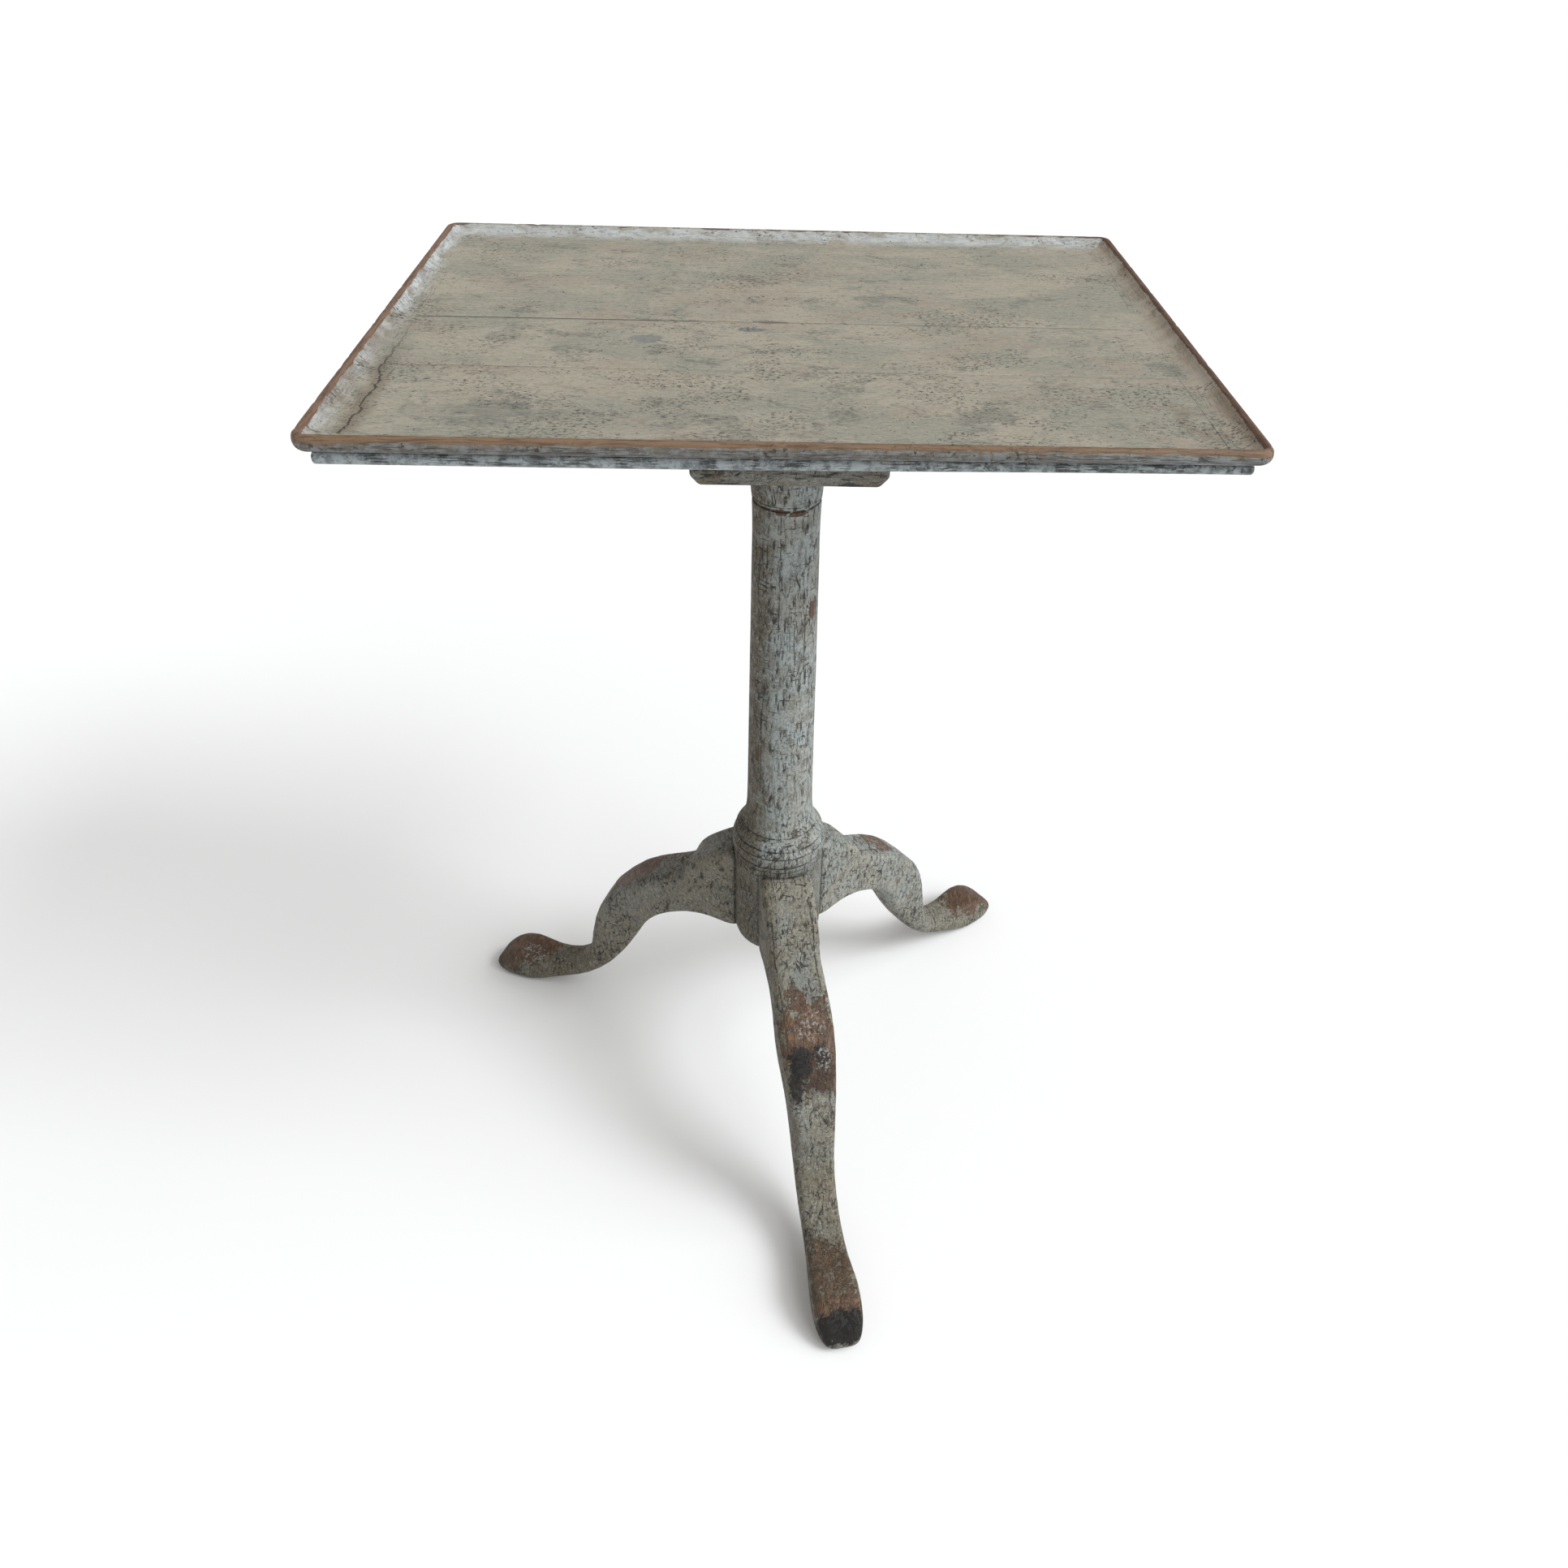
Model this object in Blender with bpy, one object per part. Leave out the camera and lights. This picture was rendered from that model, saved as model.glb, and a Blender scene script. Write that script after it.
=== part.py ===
"""Tilt top table: a mitred tray top that tilts on a three-legged turned pedestal.

Metres, +Z up, the front edge of the top towards -Y. Everything is laid out about the column's
axis; the last step moves the whole table so that its outer box is centred on the origin.
"""

import math

import bmesh
import bpy
from mathutils import Vector

# ---- driving dimensions -------------------------------------------------------------------------
TABLE_HEIGHT = 0.740
TOP_WIDTH = 0.546
TOP_DEPTH = 0.421
# The top is fixed a little to the left of the column.
TOP_SHIFT = -0.0045
GAP = 0.0003
HALF_GAP = GAP / 2

# Tray rim: width of the moulding, height of the field below the lip, plan radius of the corners.
RIM_WIDTH = 0.021
FIELD_DROP = 0.0075
BOARD_THICKNESS = 0.014
CORNER_RADIUS = 0.010
GROOVE_BACK = 0.0128
GROOVE_TOP = 0.0124
GROOVE_BOTTOM = 0.0181
BOARD_JOINTS_Y = (-0.084, 0.005)

# Heights of the pedestal.
FIELD_TOP = TABLE_HEIGHT - FIELD_DROP
BOARD_UNDERSIDE = FIELD_TOP - BOARD_THICKNESS
BLOCK_BOTTOM = 0.6415
BLOCK_TOP = BOARD_UNDERSIDE - GAP
HUB_BOTTOM = 0.163
HUB_RADIUS = 0.0394

# Head block and the hinge of the top.
BLOCK_HALF = 0.068
PIVOT_SETBACK = 0.0225
PIVOT_DEPTH = 0.023
PIVOT_Y = BLOCK_HALF - PIVOT_SETBACK
PIVOT_Z = BOARD_UNDERSIDE - PIVOT_DEPTH
PIN_RADIUS = 0.006
PIN_CLEARANCE = 0.00008
PIN_SEGMENTS = 32
PIN_REACH = 0.028
TENON_RADIUS = 0.016
WEDGE_DEPTH = 0.026

# Battens under the top, either side of the block.
BATTEN_INNER = BLOCK_HALF + 0.0008
BATTEN_THICKNESS = 0.026
BATTEN_TOP = BOARD_UNDERSIDE - GAP
BATTEN_HALF_LENGTH = 0.165
BATTEN_SCREW_Y = (-0.140, -0.020, 0.140)
BATTEN_SCREW_HEAD_Z = (0.7046, 0.7020, 0.7046)

# Catch under the front of the top.
CATCH_BACK_Y = -0.0745
CATCH_FRONT_Y = -0.150
CATCH_PAD_THICKNESS = 0.006
CATCH_PLATE_THICKNESS = 0.002
BOLT_HALF_WIDTH = 0.006
BOLT_HEIGHT = 0.006
BOLT_TIP_Y = -0.0725
BOLT_LENGTH = 0.074
BOLT_THROW = 0.013
STAPLE_Y = (-0.080, -0.126)
KNOB_Y = -0.107

# Legs: angle from straight ahead, anticlockwise seen from above.
LEG_ANGLES = {"front": 9.8, "left": -109.8, "right": 128.5}
# The three hand-cut legs differ a little in reach.
LEG_STRETCH = {"front": 1.06, "left": 1.0, "right": 0.98}
DOVETAIL_DEPTH = 0.014
DOVETAIL_NECK = 0.0085
DOVETAIL_BACK = 0.0120
DOVETAIL_TOP = 0.243

# Leg outline from hub to toe, in millimetres: outer edge (reach, height), inner edge
# (reach, height), half width.
LEG_STATIONS = (
    ((34.0, 254.5), (34.0, 163.0), 23.5),
    ((43.0, 254.3), (43.0, 163.3), 23.6),
    ((47.5, 251.6), (48.0, 164.4), 23.6),
    ((56.0, 246.0), (54.0, 165.4), 23.4),
    ((66.0, 239.0), (62.0, 166.0), 23.2),
    ((75.5, 231.0), (70.0, 165.6), 23.1),
    ((81.8, 223.0), (77.0, 164.3), 22.9),
    ((84.6, 214.7), (83.0, 162.8), 22.6),
    ((87.4, 209.3), (89.0, 160.8), 22.7),
    ((94.8, 205.3), (96.0, 158.0), 22.9),
    ((108.3, 198.9), (104.0, 154.3), 23.3),
    ((123.9, 190.8), (113.0, 148.5), 24.0),
    ((139.5, 180.5), (121.5, 140.0), 24.3),
    ((154.5, 166.7), (128.5, 129.5), 23.4),
    ((168.0, 151.8), (134.5, 117.5), 21.5),
    ((177.5, 134.4), (141.0, 104.0), 19.8),
    ((183.9, 116.2), (149.0, 89.0), 18.6),
    ((187.9, 97.3), (158.5, 73.0), 17.8),
    ((191.0, 77.6), (169.5, 57.5), 17.5),
    ((197.0, 59.6), (181.5, 44.0), 17.4),
    ((206.0, 47.2), (194.0, 33.0), 17.3),
    ((217.2, 39.5), (207.0, 24.5), 17.2),
    ((230.4, 35.4), (221.0, 17.2), 17.1),
    ((244.0, 34.3), (236.0, 10.2), 17.5),
    ((257.0, 35.6), (250.0, 4.0), 18.6),
    ((269.6, 35.7), (264.0, 0.3), 19.9),
    ((281.2, 32.4), (278.0, 0.0), 20.2),
    ((291.2, 26.5), (289.0, 0.0), 19.6),
    ((299.4, 19.0), (297.0, 0.8), 17.4),
    ((304.2, 12.3), (302.5, 3.0), 14.2),
    ((306.3, 8.6), (305.8, 6.0), 9.5),
)
LEG_ROOT = 0.080
LEG_ARRIS = 7.5
LEG_STEPS = 1

# Turned column from the tenon down to the hub, in millimetres: (radius, height).
COLUMN_PROFILE = (
    (16.0, 717.6),
    (16.0, 641.2),
    (26.3, 641.2),
    (27.2, 638.5),
    (27.6, 630.0),
    (27.4, 618.0),
    (26.8, 608.0),
    (26.4, 604.6),
    (25.5, 603.4),
    (25.5, 602.4),
    (26.2, 601.0),
    (25.9, 592.0),
    (25.8, 578.0),
    (26.0, 555.0),
    (26.5, 503.0),
    (27.0, 455.0),
    (27.4, 405.0),
    (27.8, 358.0),
    (28.2, 324.0),
    (28.7, 310.0),
    (29.8, 301.5),
    (31.3, 296.0),
    (32.5, 293.4),
    (31.7, 292.3),
    (32.3, 291.2),
    (34.4, 289.4),
    (36.9, 286.2),
    (38.3, 283.2),
    (37.7, 282.2),
    (38.5, 281.0),
    (39.8, 278.2),
    (40.9, 273.6),
    (41.1, 269.2),
    (40.5, 266.4),
    (39.4, 265.3),
    (39.6, 264.1),
    (39.9, 262.5),
    (39.4, 256.0),
    (39.4, 177.0),
    (38.8, 168.5),
    (37.2, 163.0),
)
COLUMN_SEGMENTS = 40

# Section of the tray rim, in millimetres: (distance in from the outer edge, height below the lip).
RIM_SECTION = (
    (13.8, 21.5),
    (10.4, 21.2),
    (8.8, 20.0),
    (8.1, 17.9),
    (8.2, 15.3),
    (9.1, 13.6),
    (10.2, 12.9),
    (9.6, 12.0),
    (5.2, 11.4),
    (2.4, 10.2),
    (0.7, 8.2),
    (0.0, 5.7),
    (0.2, 3.0),
    (0.9, 1.2),
    (2.1, 0.25),
    (3.3, 0.0),
    (4.6, 0.4),
    (6.0, 1.8),
    (7.6, 3.7),
    (10.0, 5.5),
    (13.2, 6.7),
    (17.0, 7.3),
    (21.0, 7.5),
    (21.0, 12.4),
    (12.8, 12.4),
    (12.8, 18.1),
    (21.0, 18.1),
    (21.0, 21.5),
)

WOOD = (0.36, 0.25, 0.16)
PAINT = (0.56, 0.58, 0.54)
FIELD_PAINT = (0.55, 0.50, 0.42)
IRON = (0.10, 0.095, 0.09)


def mm(value):
    return value / 1000.0


# ---- helpers ------------------------------------------------------------------------------------
def clear_scene():
    for obj in list(bpy.data.objects):
        bpy.data.objects.remove(obj, do_unlink=True)


def make_material(name, colour, metallic=0.0, roughness=0.6):
    material = bpy.data.materials.new(name)
    material.use_nodes = True
    shader = material.node_tree.nodes["Principled BSDF"]
    shader.inputs["Base Color"].default_value = (*colour, 1.0)
    shader.inputs["Metallic"].default_value = metallic
    shader.inputs["Roughness"].default_value = roughness
    material.diffuse_color = (*colour, 1.0)
    return material


def make_object(name, mesh_builder, colour, metallic=0.0, roughness=0.6):
    """Turns a filled bmesh into an object with its own material."""
    mesh = bpy.data.meshes.new(name)
    bmesh.ops.recalc_face_normals(mesh_builder, faces=mesh_builder.faces)
    mesh_builder.to_mesh(mesh)
    mesh_builder.free()
    obj = bpy.data.objects.new(name, mesh)
    bpy.context.scene.collection.objects.link(obj)
    if colour is not None:
        mesh.materials.append(make_material(name, colour, metallic, roughness))
    return obj


def make_cutter(name, mesh_builder):
    obj = make_object(name, mesh_builder, None)
    obj.hide_render = True
    obj.display_type = "WIRE"
    return obj


def combine(obj, other, operation="DIFFERENCE"):
    modifier = obj.modifiers.new(other.name, "BOOLEAN")
    modifier.operation = operation
    modifier.solver = "EXACT"
    modifier.object = other


def loft(rings):
    """A closed body through rings of points, all with the same count, flat at both ends."""
    builder = bmesh.new()
    loops = [[builder.verts.new(point) for point in ring] for ring in rings]
    count = len(loops[0])
    for near, far in zip(loops, loops[1:]):
        for i in range(count):
            j = (i + 1) % count
            builder.faces.new((near[i], near[j], far[j], far[i]))
    builder.faces.new(list(reversed(loops[0])))
    builder.faces.new(loops[-1])
    return builder


def prism(outline, low, high, place):
    """Extrudes a flat outline; place(u, v, w) says where a point goes."""
    return loft([[Vector(place(u, v, w)) for u, v in outline] for w in (low, high)])


def along_x(outline_yz, low, high):
    return prism(outline_yz, low, high, lambda y, z, x: (x, y, z))


def along_y(outline_xz, low, high):
    return prism(outline_xz, low, high, lambda x, z, y: (x, y, z))


def along_z(outline_xy, low, high):
    return prism(outline_xy, low, high, lambda x, y, z: (x, y, z))


def box(low, high):
    outline = (
        (low[0], low[1]),
        (high[0], low[1]),
        (high[0], high[1]),
        (low[0], high[1]),
    )
    return along_z(outline, low[2], high[2])


def circle(radius, segments, centre=(0.0, 0.0)):
    turns = [2 * math.pi * i / segments for i in range(segments)]
    return [
        (centre[0] + radius * math.cos(a), centre[1] + radius * math.sin(a)) for a in turns
    ]


def lathe(profile, segments):
    """Turns (radius, height) points, none on the axis, about Z."""
    rings = []
    for radius, height in profile:
        rings.append([Vector((x, y, height)) for x, y in circle(radius, segments)])
    return loft(rings)


def bevel(obj, width, segments=1, angle=30.0):
    modifier = obj.modifiers.new("arris", "BEVEL")
    modifier.width = width
    modifier.segments = segments
    modifier.limit_method = "ANGLE"
    modifier.angle_limit = math.radians(angle)


def hang_on(children, parent):
    """Parents objects that were laid out about the column's axis."""
    start = Vector(parent.location)
    above = parent.parent
    while above is not None:
        start += above.location
        above = above.parent
    for child in children:
        child.parent = parent
        child.location -= start


def make_empty(name, location, parent=None):
    empty = bpy.data.objects.new(name, None)
    empty.empty_display_size = 0.05
    empty.location = location
    bpy.context.scene.collection.objects.link(empty)
    if parent is not None:
        hang_on([empty], parent)
    return empty


# ---- column -------------------------------------------------------------------------------------
def dovetail_outline(grow=0.0):
    """Plan of a leg's dovetail, pointing to -Y, running from the hub's face inwards."""
    face = -HUB_RADIUS - 0.004
    back = -HUB_RADIUS + DOVETAIL_DEPTH + grow
    slope = (DOVETAIL_BACK - DOVETAIL_NECK) / DOVETAIL_DEPTH
    neck = DOVETAIL_NECK - slope * 0.004 + grow
    wide = DOVETAIL_BACK + grow
    return [(-neck, face), (neck, face), (wide, back), (-wide, back)]


def build_column():
    profile = [(mm(radius), mm(height)) for radius, height in COLUMN_PROFILE]
    column = make_object("column", lathe(profile, COLUMN_SEGMENTS), PAINT)
    for side, angle in LEG_ANGLES.items():
        socket = make_cutter(
            f"socket_{side}", along_z(dovetail_outline(GAP), 0.150, DOVETAIL_TOP + GAP)
        )
        socket.rotation_euler.z = math.radians(angle)
        combine(column, socket)
    slot_low = mm(COLUMN_PROFILE[0][1]) - WEDGE_DEPTH
    slot = make_cutter("wedge_slot", box((-0.030, -0.0018, slot_low), (0.030, 0.0018, 0.730)))
    combine(column, slot)
    pilot = make_cutter("brace_screw_pilot", along_z(circle(0.0023, 12), 0.150, 0.189))
    combine(column, pilot)
    return column


def build_wedge():
    top = mm(COLUMN_PROFILE[0][1])
    outline = [
        (-0.0015, top),
        (0.0015, top),
        (0.0010, top - WEDGE_DEPTH + 0.001),
        (-0.0010, top - WEDGE_DEPTH + 0.001),
    ]
    return make_object("tenon_wedge", along_x(outline, -0.0152, 0.0152), WOOD)


# ---- legs ---------------------------------------------------------------------------------------
def smooth(points, steps):
    """Catmull-Rom curve through points of any dimension."""
    curve = []
    last = len(points) - 1
    for i in range(last):
        before = points[max(i - 1, 0)]
        here, there = points[i], points[i + 1]
        after = points[min(i + 2, last)]
        for k in range(steps):
            t = k / steps
            curve.append(
                tuple(
                    0.5
                    * (
                        2 * b
                        + (c - a) * t
                        + (2 * a - 5 * b + 4 * c - d) * t * t
                        + (3 * b - a - 3 * c + d) * t**3
                    )
                    for a, b, c, d in zip(before, here, there, after)
                )
            )
    curve.append(points[-1])
    return curve


def leg_section(outer, inner, half_width, arris):
    """A rounded rectangle between the outer and the inner edge, in a plane across the leg."""
    outer_point = Vector((0.0, -outer[0], outer[1]))
    inner_point = Vector((0.0, -inner[0], inner[1]))
    depth = (outer_point - inner_point).length
    down = (inner_point - outer_point) / depth
    radius = min(arris, 0.42 * depth, 0.6 * half_width)
    corners = (
        (half_width - radius, radius, 90.0),
        (half_width - radius, depth - radius, 0.0),
        (-half_width + radius, depth - radius, -90.0),
        (-half_width + radius, radius, -180.0),
    )
    ring = []
    for x, fall, start in corners:
        for step in range(4):
            angle = math.radians(start - 30.0 * step)
            across = x + radius * math.cos(angle)
            below = fall - radius * math.sin(angle)
            ring.append(outer_point + down * below + Vector((across, 0.0, 0.0)))
    return ring


def stretched(reach, stretch):
    """A leg is longer or shorter beyond the brace only, so that all three meet the hub alike."""
    return reach + max(0.0, reach - LEG_ROOT) * (stretch - 1.0)


def build_leg(side, angle):
    flat = [(*outer, *inner, width) for outer, inner, width in LEG_STATIONS]
    stretch = LEG_STRETCH[side]
    rings = []
    for values in smooth(flat, LEG_STEPS):
        outer_r, outer_z, inner_r, inner_z, width = (mm(value) for value in values)
        outer = (stretched(outer_r, stretch), outer_z)
        inner = (stretched(inner_r, stretch), inner_z)
        section = leg_section(outer, inner, width, mm(LEG_ARRIS))
        for point in section:
            point.z = max(point.z, 0.0)
        rings.append(section)
    leg = make_object(f"leg_{side}", loft(rings), PAINT)
    hub = make_cutter(f"hub_of_leg_{side}", along_z(circle(HUB_RADIUS + GAP, 96), 0.10, 0.30))
    tail = make_cutter(
        f"dovetail_of_leg_{side}", along_z(dovetail_outline(), HUB_BOTTOM + 0.0002, DOVETAIL_TOP)
    )
    combine(leg, hub)
    combine(leg, tail, "UNION")
    for reach in BRACE_NAIL_REACH:
        hole = along_z(circle(0.0018, 10, (0.0, -reach)), 0.150, 0.1785)
        pilot = make_cutter(f"nail_hole_{round(reach * 1000)}_of_leg_{side}", hole)
        combine(leg, pilot)
        hang_on([pilot], leg)
    hang_on([hub, tail], leg)
    leg.rotation_euler.z = math.radians(angle)
    return leg


# ---- iron brace under the hub -------------------------------------------------------------------
BRACE_NAIL_REACH = (0.057, 0.069)
BRACE_THICKNESS = 0.0020
BRACE_HALF_WIDTH = 0.007
BRACE_TOP = HUB_BOTTOM - GAP
BRACE_LINE = (
    (0.0000, BRACE_TOP),
    (0.0445, BRACE_TOP),
    (0.0500, BRACE_TOP + 0.0011),
    (0.0760, BRACE_TOP + 0.0011),
)


def brace_height(reach):
    for (r0, z0), (r1, z1) in zip(BRACE_LINE, BRACE_LINE[1:]):
        if r0 <= reach <= r1:
            return z0 + (z1 - z0) * (reach - r0) / (r1 - r0)
    return BRACE_LINE[-1][1]


def build_brace():
    disc = along_z(circle(0.021, 24), BRACE_TOP - BRACE_THICKNESS, BRACE_TOP)
    plate = make_object("brace_plate", disc, IRON, 0.9)
    upper = [(-reach, height) for reach, height in BRACE_LINE]
    lower = [(-reach, height - BRACE_THICKNESS) for reach, height in reversed(BRACE_LINE)]
    for side, angle in LEG_ANGLES.items():
        strip = make_cutter(
            f"brace_arm_{side}", along_x(upper + lower, -BRACE_HALF_WIDTH, BRACE_HALF_WIDTH)
        )
        strip.rotation_euler.z = math.radians(angle)
        combine(plate, strip, "UNION")
    holes = [(0.0, 0.0, 0.0023)]
    for angle in LEG_ANGLES.values():
        turn = math.radians(angle)
        for reach in BRACE_NAIL_REACH:
            holes.append((reach * math.sin(turn), -reach * math.cos(turn), 0.0018))
    for i, (x, y, radius) in enumerate(holes):
        hole = make_cutter(f"brace_hole_{i}", along_z(circle(radius, 12, (x, y)), 0.150, 0.170))
        combine(plate, hole)
    return plate


def build_nail(name, head_radius, shank_radius, head_z, length, head_height=0.0012):
    """A nail driven upwards: its head's face is head_z, and its tip is length above that."""
    profile = [
        (head_radius * 0.55, head_z - head_height),
        (head_radius, head_z - head_height * 0.35),
        (head_radius, head_z),
        (shank_radius, head_z),
        (shank_radius, head_z + length * 0.75),
        (shank_radius * 0.3, head_z + length),
    ]
    return make_object(name, lathe(profile, 12), IRON, 0.9)


def build_brace_fixings():
    fixings = []
    head_z = BRACE_TOP - BRACE_THICKNESS - GAP
    screw = build_nail("brace_screw", 0.0050, 0.0020, head_z, 0.0255, 0.0022)
    groove = box((-0.006, -0.0006, head_z - 0.004), (0.006, 0.0006, head_z - 0.0012))
    slot = make_cutter("brace_screw_slot", groove)
    combine(screw, slot)
    fixings.append(screw)
    for side, angle in LEG_ANGLES.items():
        turn = math.radians(angle)
        for number, reach in enumerate(BRACE_NAIL_REACH, 1):
            head_z = brace_height(reach) - BRACE_THICKNESS - 0.0004
            nail = build_nail(f"brace_nail_{side}_{number}", 0.0032, 0.0015, head_z, 0.0145)
            nail.location = (reach * math.sin(turn), -reach * math.cos(turn), 0.0)
            fixings.append(nail)
    return fixings


# ---- head block ---------------------------------------------------------------------------------
def square_ring(inset, height):
    half = BLOCK_HALF - inset
    corner = max(0.0012, 0.003 - inset * 0.2)
    ring = []
    for sx, sy in ((1, 1), (-1, 1), (-1, -1), (1, -1)):
        first = Vector((sx * half, sy * (half - corner), height))
        second = Vector((sx * (half - corner), sy * half, height))
        ring += [first, second] if sx * sy > 0 else [second, first]
    return ring


def build_head_block():
    """A square block with bevelled lower edges; its back upper edge is rounded about the hinge."""
    lower_edge = (
        (6.9, 0.0),
        (5.9, 0.3),
        (4.9, 1.1),
        (0.8, 7.6),
        (0.2, 8.8),
        (0.0, 10.2),
    )
    rings = [square_ring(mm(inset), BLOCK_BOTTOM + mm(rise)) for inset, rise in lower_edge]
    rings.append(square_ring(0.0, BLOCK_TOP - 0.0008))
    rings.append(square_ring(0.0008, BLOCK_TOP))
    block = make_object("head_block", loft(rings), PAINT)

    radius = BLOCK_HALF - PIVOT_Y
    centre = (PIVOT_Y, BLOCK_TOP - radius)
    arc = [math.radians(90.0 - 7.5 * i) for i in range(13)]
    outline = [(centre[0] + radius * math.cos(a), centre[1] + radius * math.sin(a)) for a in arc]
    outline += [
        (centre[0] + 0.060, centre[1]),
        (centre[0] + 0.060, centre[1] + 0.060),
        (centre[0], centre[1] + 0.060),
    ]
    combine(block, make_cutter("hinge_rounding", along_x(outline, -0.090, 0.090)))

    bore = circle(TENON_RADIUS + GAP, COLUMN_SEGMENTS)
    combine(block, make_cutter("tenon_hole", along_z(bore, 0.600, 0.760)))
    for side, sign in (("left", -1), ("right", 1)):
        ends = sorted((sign * (BATTEN_INNER - PIN_REACH - 0.001), sign * 0.090))
        hinge = circle(PIN_RADIUS + PIN_CLEARANCE, PIN_SEGMENTS, (PIVOT_Y, PIVOT_Z))
        combine(block, make_cutter(f"pin_bore_{side}", along_x(hinge, *ends)))
    middle = bolt_middle_z()
    mortise = box(
        (-BOLT_HALF_WIDTH - 0.0008, -0.090, middle - 0.0038),
        (BOLT_HALF_WIDTH + 0.0008, BOLT_TIP_Y + BOLT_THROW + 0.003, middle + 0.0038),
    )
    combine(block, make_cutter("catch_mortise", mortise))
    for sign in (-1, 1):
        hole = circle(0.0012, 10, (sign * 0.0125, middle))
        combine(block, make_cutter(f"keeper_hole_{sign}", along_y(hole, -0.090, -0.0575)))
    return block


# ---- top: boards and rim ------------------------------------------------------------------------
def build_boards():
    half_x = TOP_WIDTH / 2 - RIM_WIDTH - GAP
    half_y = TOP_DEPTH / 2 - RIM_WIDTH - GAP
    reach = RIM_WIDTH - GROOVE_BACK - GAP
    tongue_low = TABLE_HEIGHT - GROOVE_BOTTOM + GAP
    tongue_high = TABLE_HEIGHT - GROOVE_TOP - GAP
    edges = (-half_y, *BOARD_JOINTS_Y, half_y)
    boards = []
    for i, name in enumerate(("board_front", "board_middle", "board_back")):
        low_y = edges[i] + (HALF_GAP if i > 0 else 0.0)
        high_y = edges[i + 1] - (HALF_GAP if i < 2 else 0.0)
        board = make_object(
            name,
            box(
                (TOP_SHIFT - half_x, low_y, BOARD_UNDERSIDE),
                (TOP_SHIFT + half_x, high_y, FIELD_TOP),
            ),
            FIELD_PAINT,
        )
        tongue = make_cutter(
            f"tongue_of_{name}",
            box(
                (TOP_SHIFT - half_x - reach, low_y - (reach if i == 0 else 0.0), tongue_low),
                (TOP_SHIFT + half_x + reach, high_y + (reach if i == 2 else 0.0), tongue_high),
            ),
        )
        combine(board, tongue, "UNION")
        for sign in (-1, 1):
            hole = along_z(
                circle(0.0023, 12, (sign * batten_middle(), BATTEN_SCREW_Y[i])), 0.700, 0.7278
            )
            combine(board, make_cutter(f"screw_hole_{sign}_of_{name}", hole))
        boards.append(board)
    return boards


def rim_point(inset, height, half_length, half_depth, turn):
    """A point of the rim's section; turn runs from 0 at the mitre to 1 where the rim is straight."""
    if inset < CORNER_RADIUS:
        angle = math.radians(45.0 * (1.0 + turn))
        radius = CORNER_RADIUS - inset
        along = -half_length + CORNER_RADIUS - radius * math.cos(angle)
        across = -half_depth + CORNER_RADIUS - radius * math.sin(angle)
    else:
        along = -half_length + inset + 0.002 * turn
        across = -half_depth + inset
    return Vector((along + 0.7072 * GAP, across, height))


def build_rim(name, half_length, half_depth, angle):
    """One mitred side of the tray, built along the front and then turned into place."""
    rings = []
    for turn in (0.0, 0.33, 0.67, 1.0):
        rings.append(
            [
                rim_point(mm(u), TABLE_HEIGHT - mm(v), half_length, half_depth, turn)
                for u, v in RIM_SECTION
            ]
        )
    for ring in reversed(list(rings)):
        rings.append([Vector((-point.x, point.y, point.z)) for point in ring])
    rim = make_object(name, loft(rings), PAINT)
    rim.rotation_euler.z = math.radians(angle)
    rim.location.x = TOP_SHIFT
    return rim


def build_rims():
    half_x = TOP_WIDTH / 2
    half_y = TOP_DEPTH / 2
    return [
        build_rim("rim_front", half_x, half_y, 0.0),
        build_rim("rim_right", half_y, half_x, 90.0),
        build_rim("rim_back", half_x, half_y, 180.0),
        build_rim("rim_left", half_y, half_x, 270.0),
    ]


# ---- battens, pins and screws -------------------------------------------------------------------
def batten_middle():
    return BATTEN_INNER + BATTEN_THICKNESS / 2


def batten_outline():
    """Side view of a batten: deep beside the block, thinning to its ends."""
    half = [
        (BATTEN_HALF_LENGTH, 0.0),
        (BATTEN_HALF_LENGTH, 0.0095),
        (BATTEN_HALF_LENGTH - 0.004, 0.0120),
        (0.128, 0.0142),
        (0.112, 0.0180),
        (0.098, 0.0250),
        (0.088, 0.0325),
        (0.080, 0.0365),
        (0.070, 0.0380),
    ]
    right = [(y, BATTEN_TOP - depth) for y, depth in half]
    left = [(-y, z) for y, z in reversed(right)]
    return right + left


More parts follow.
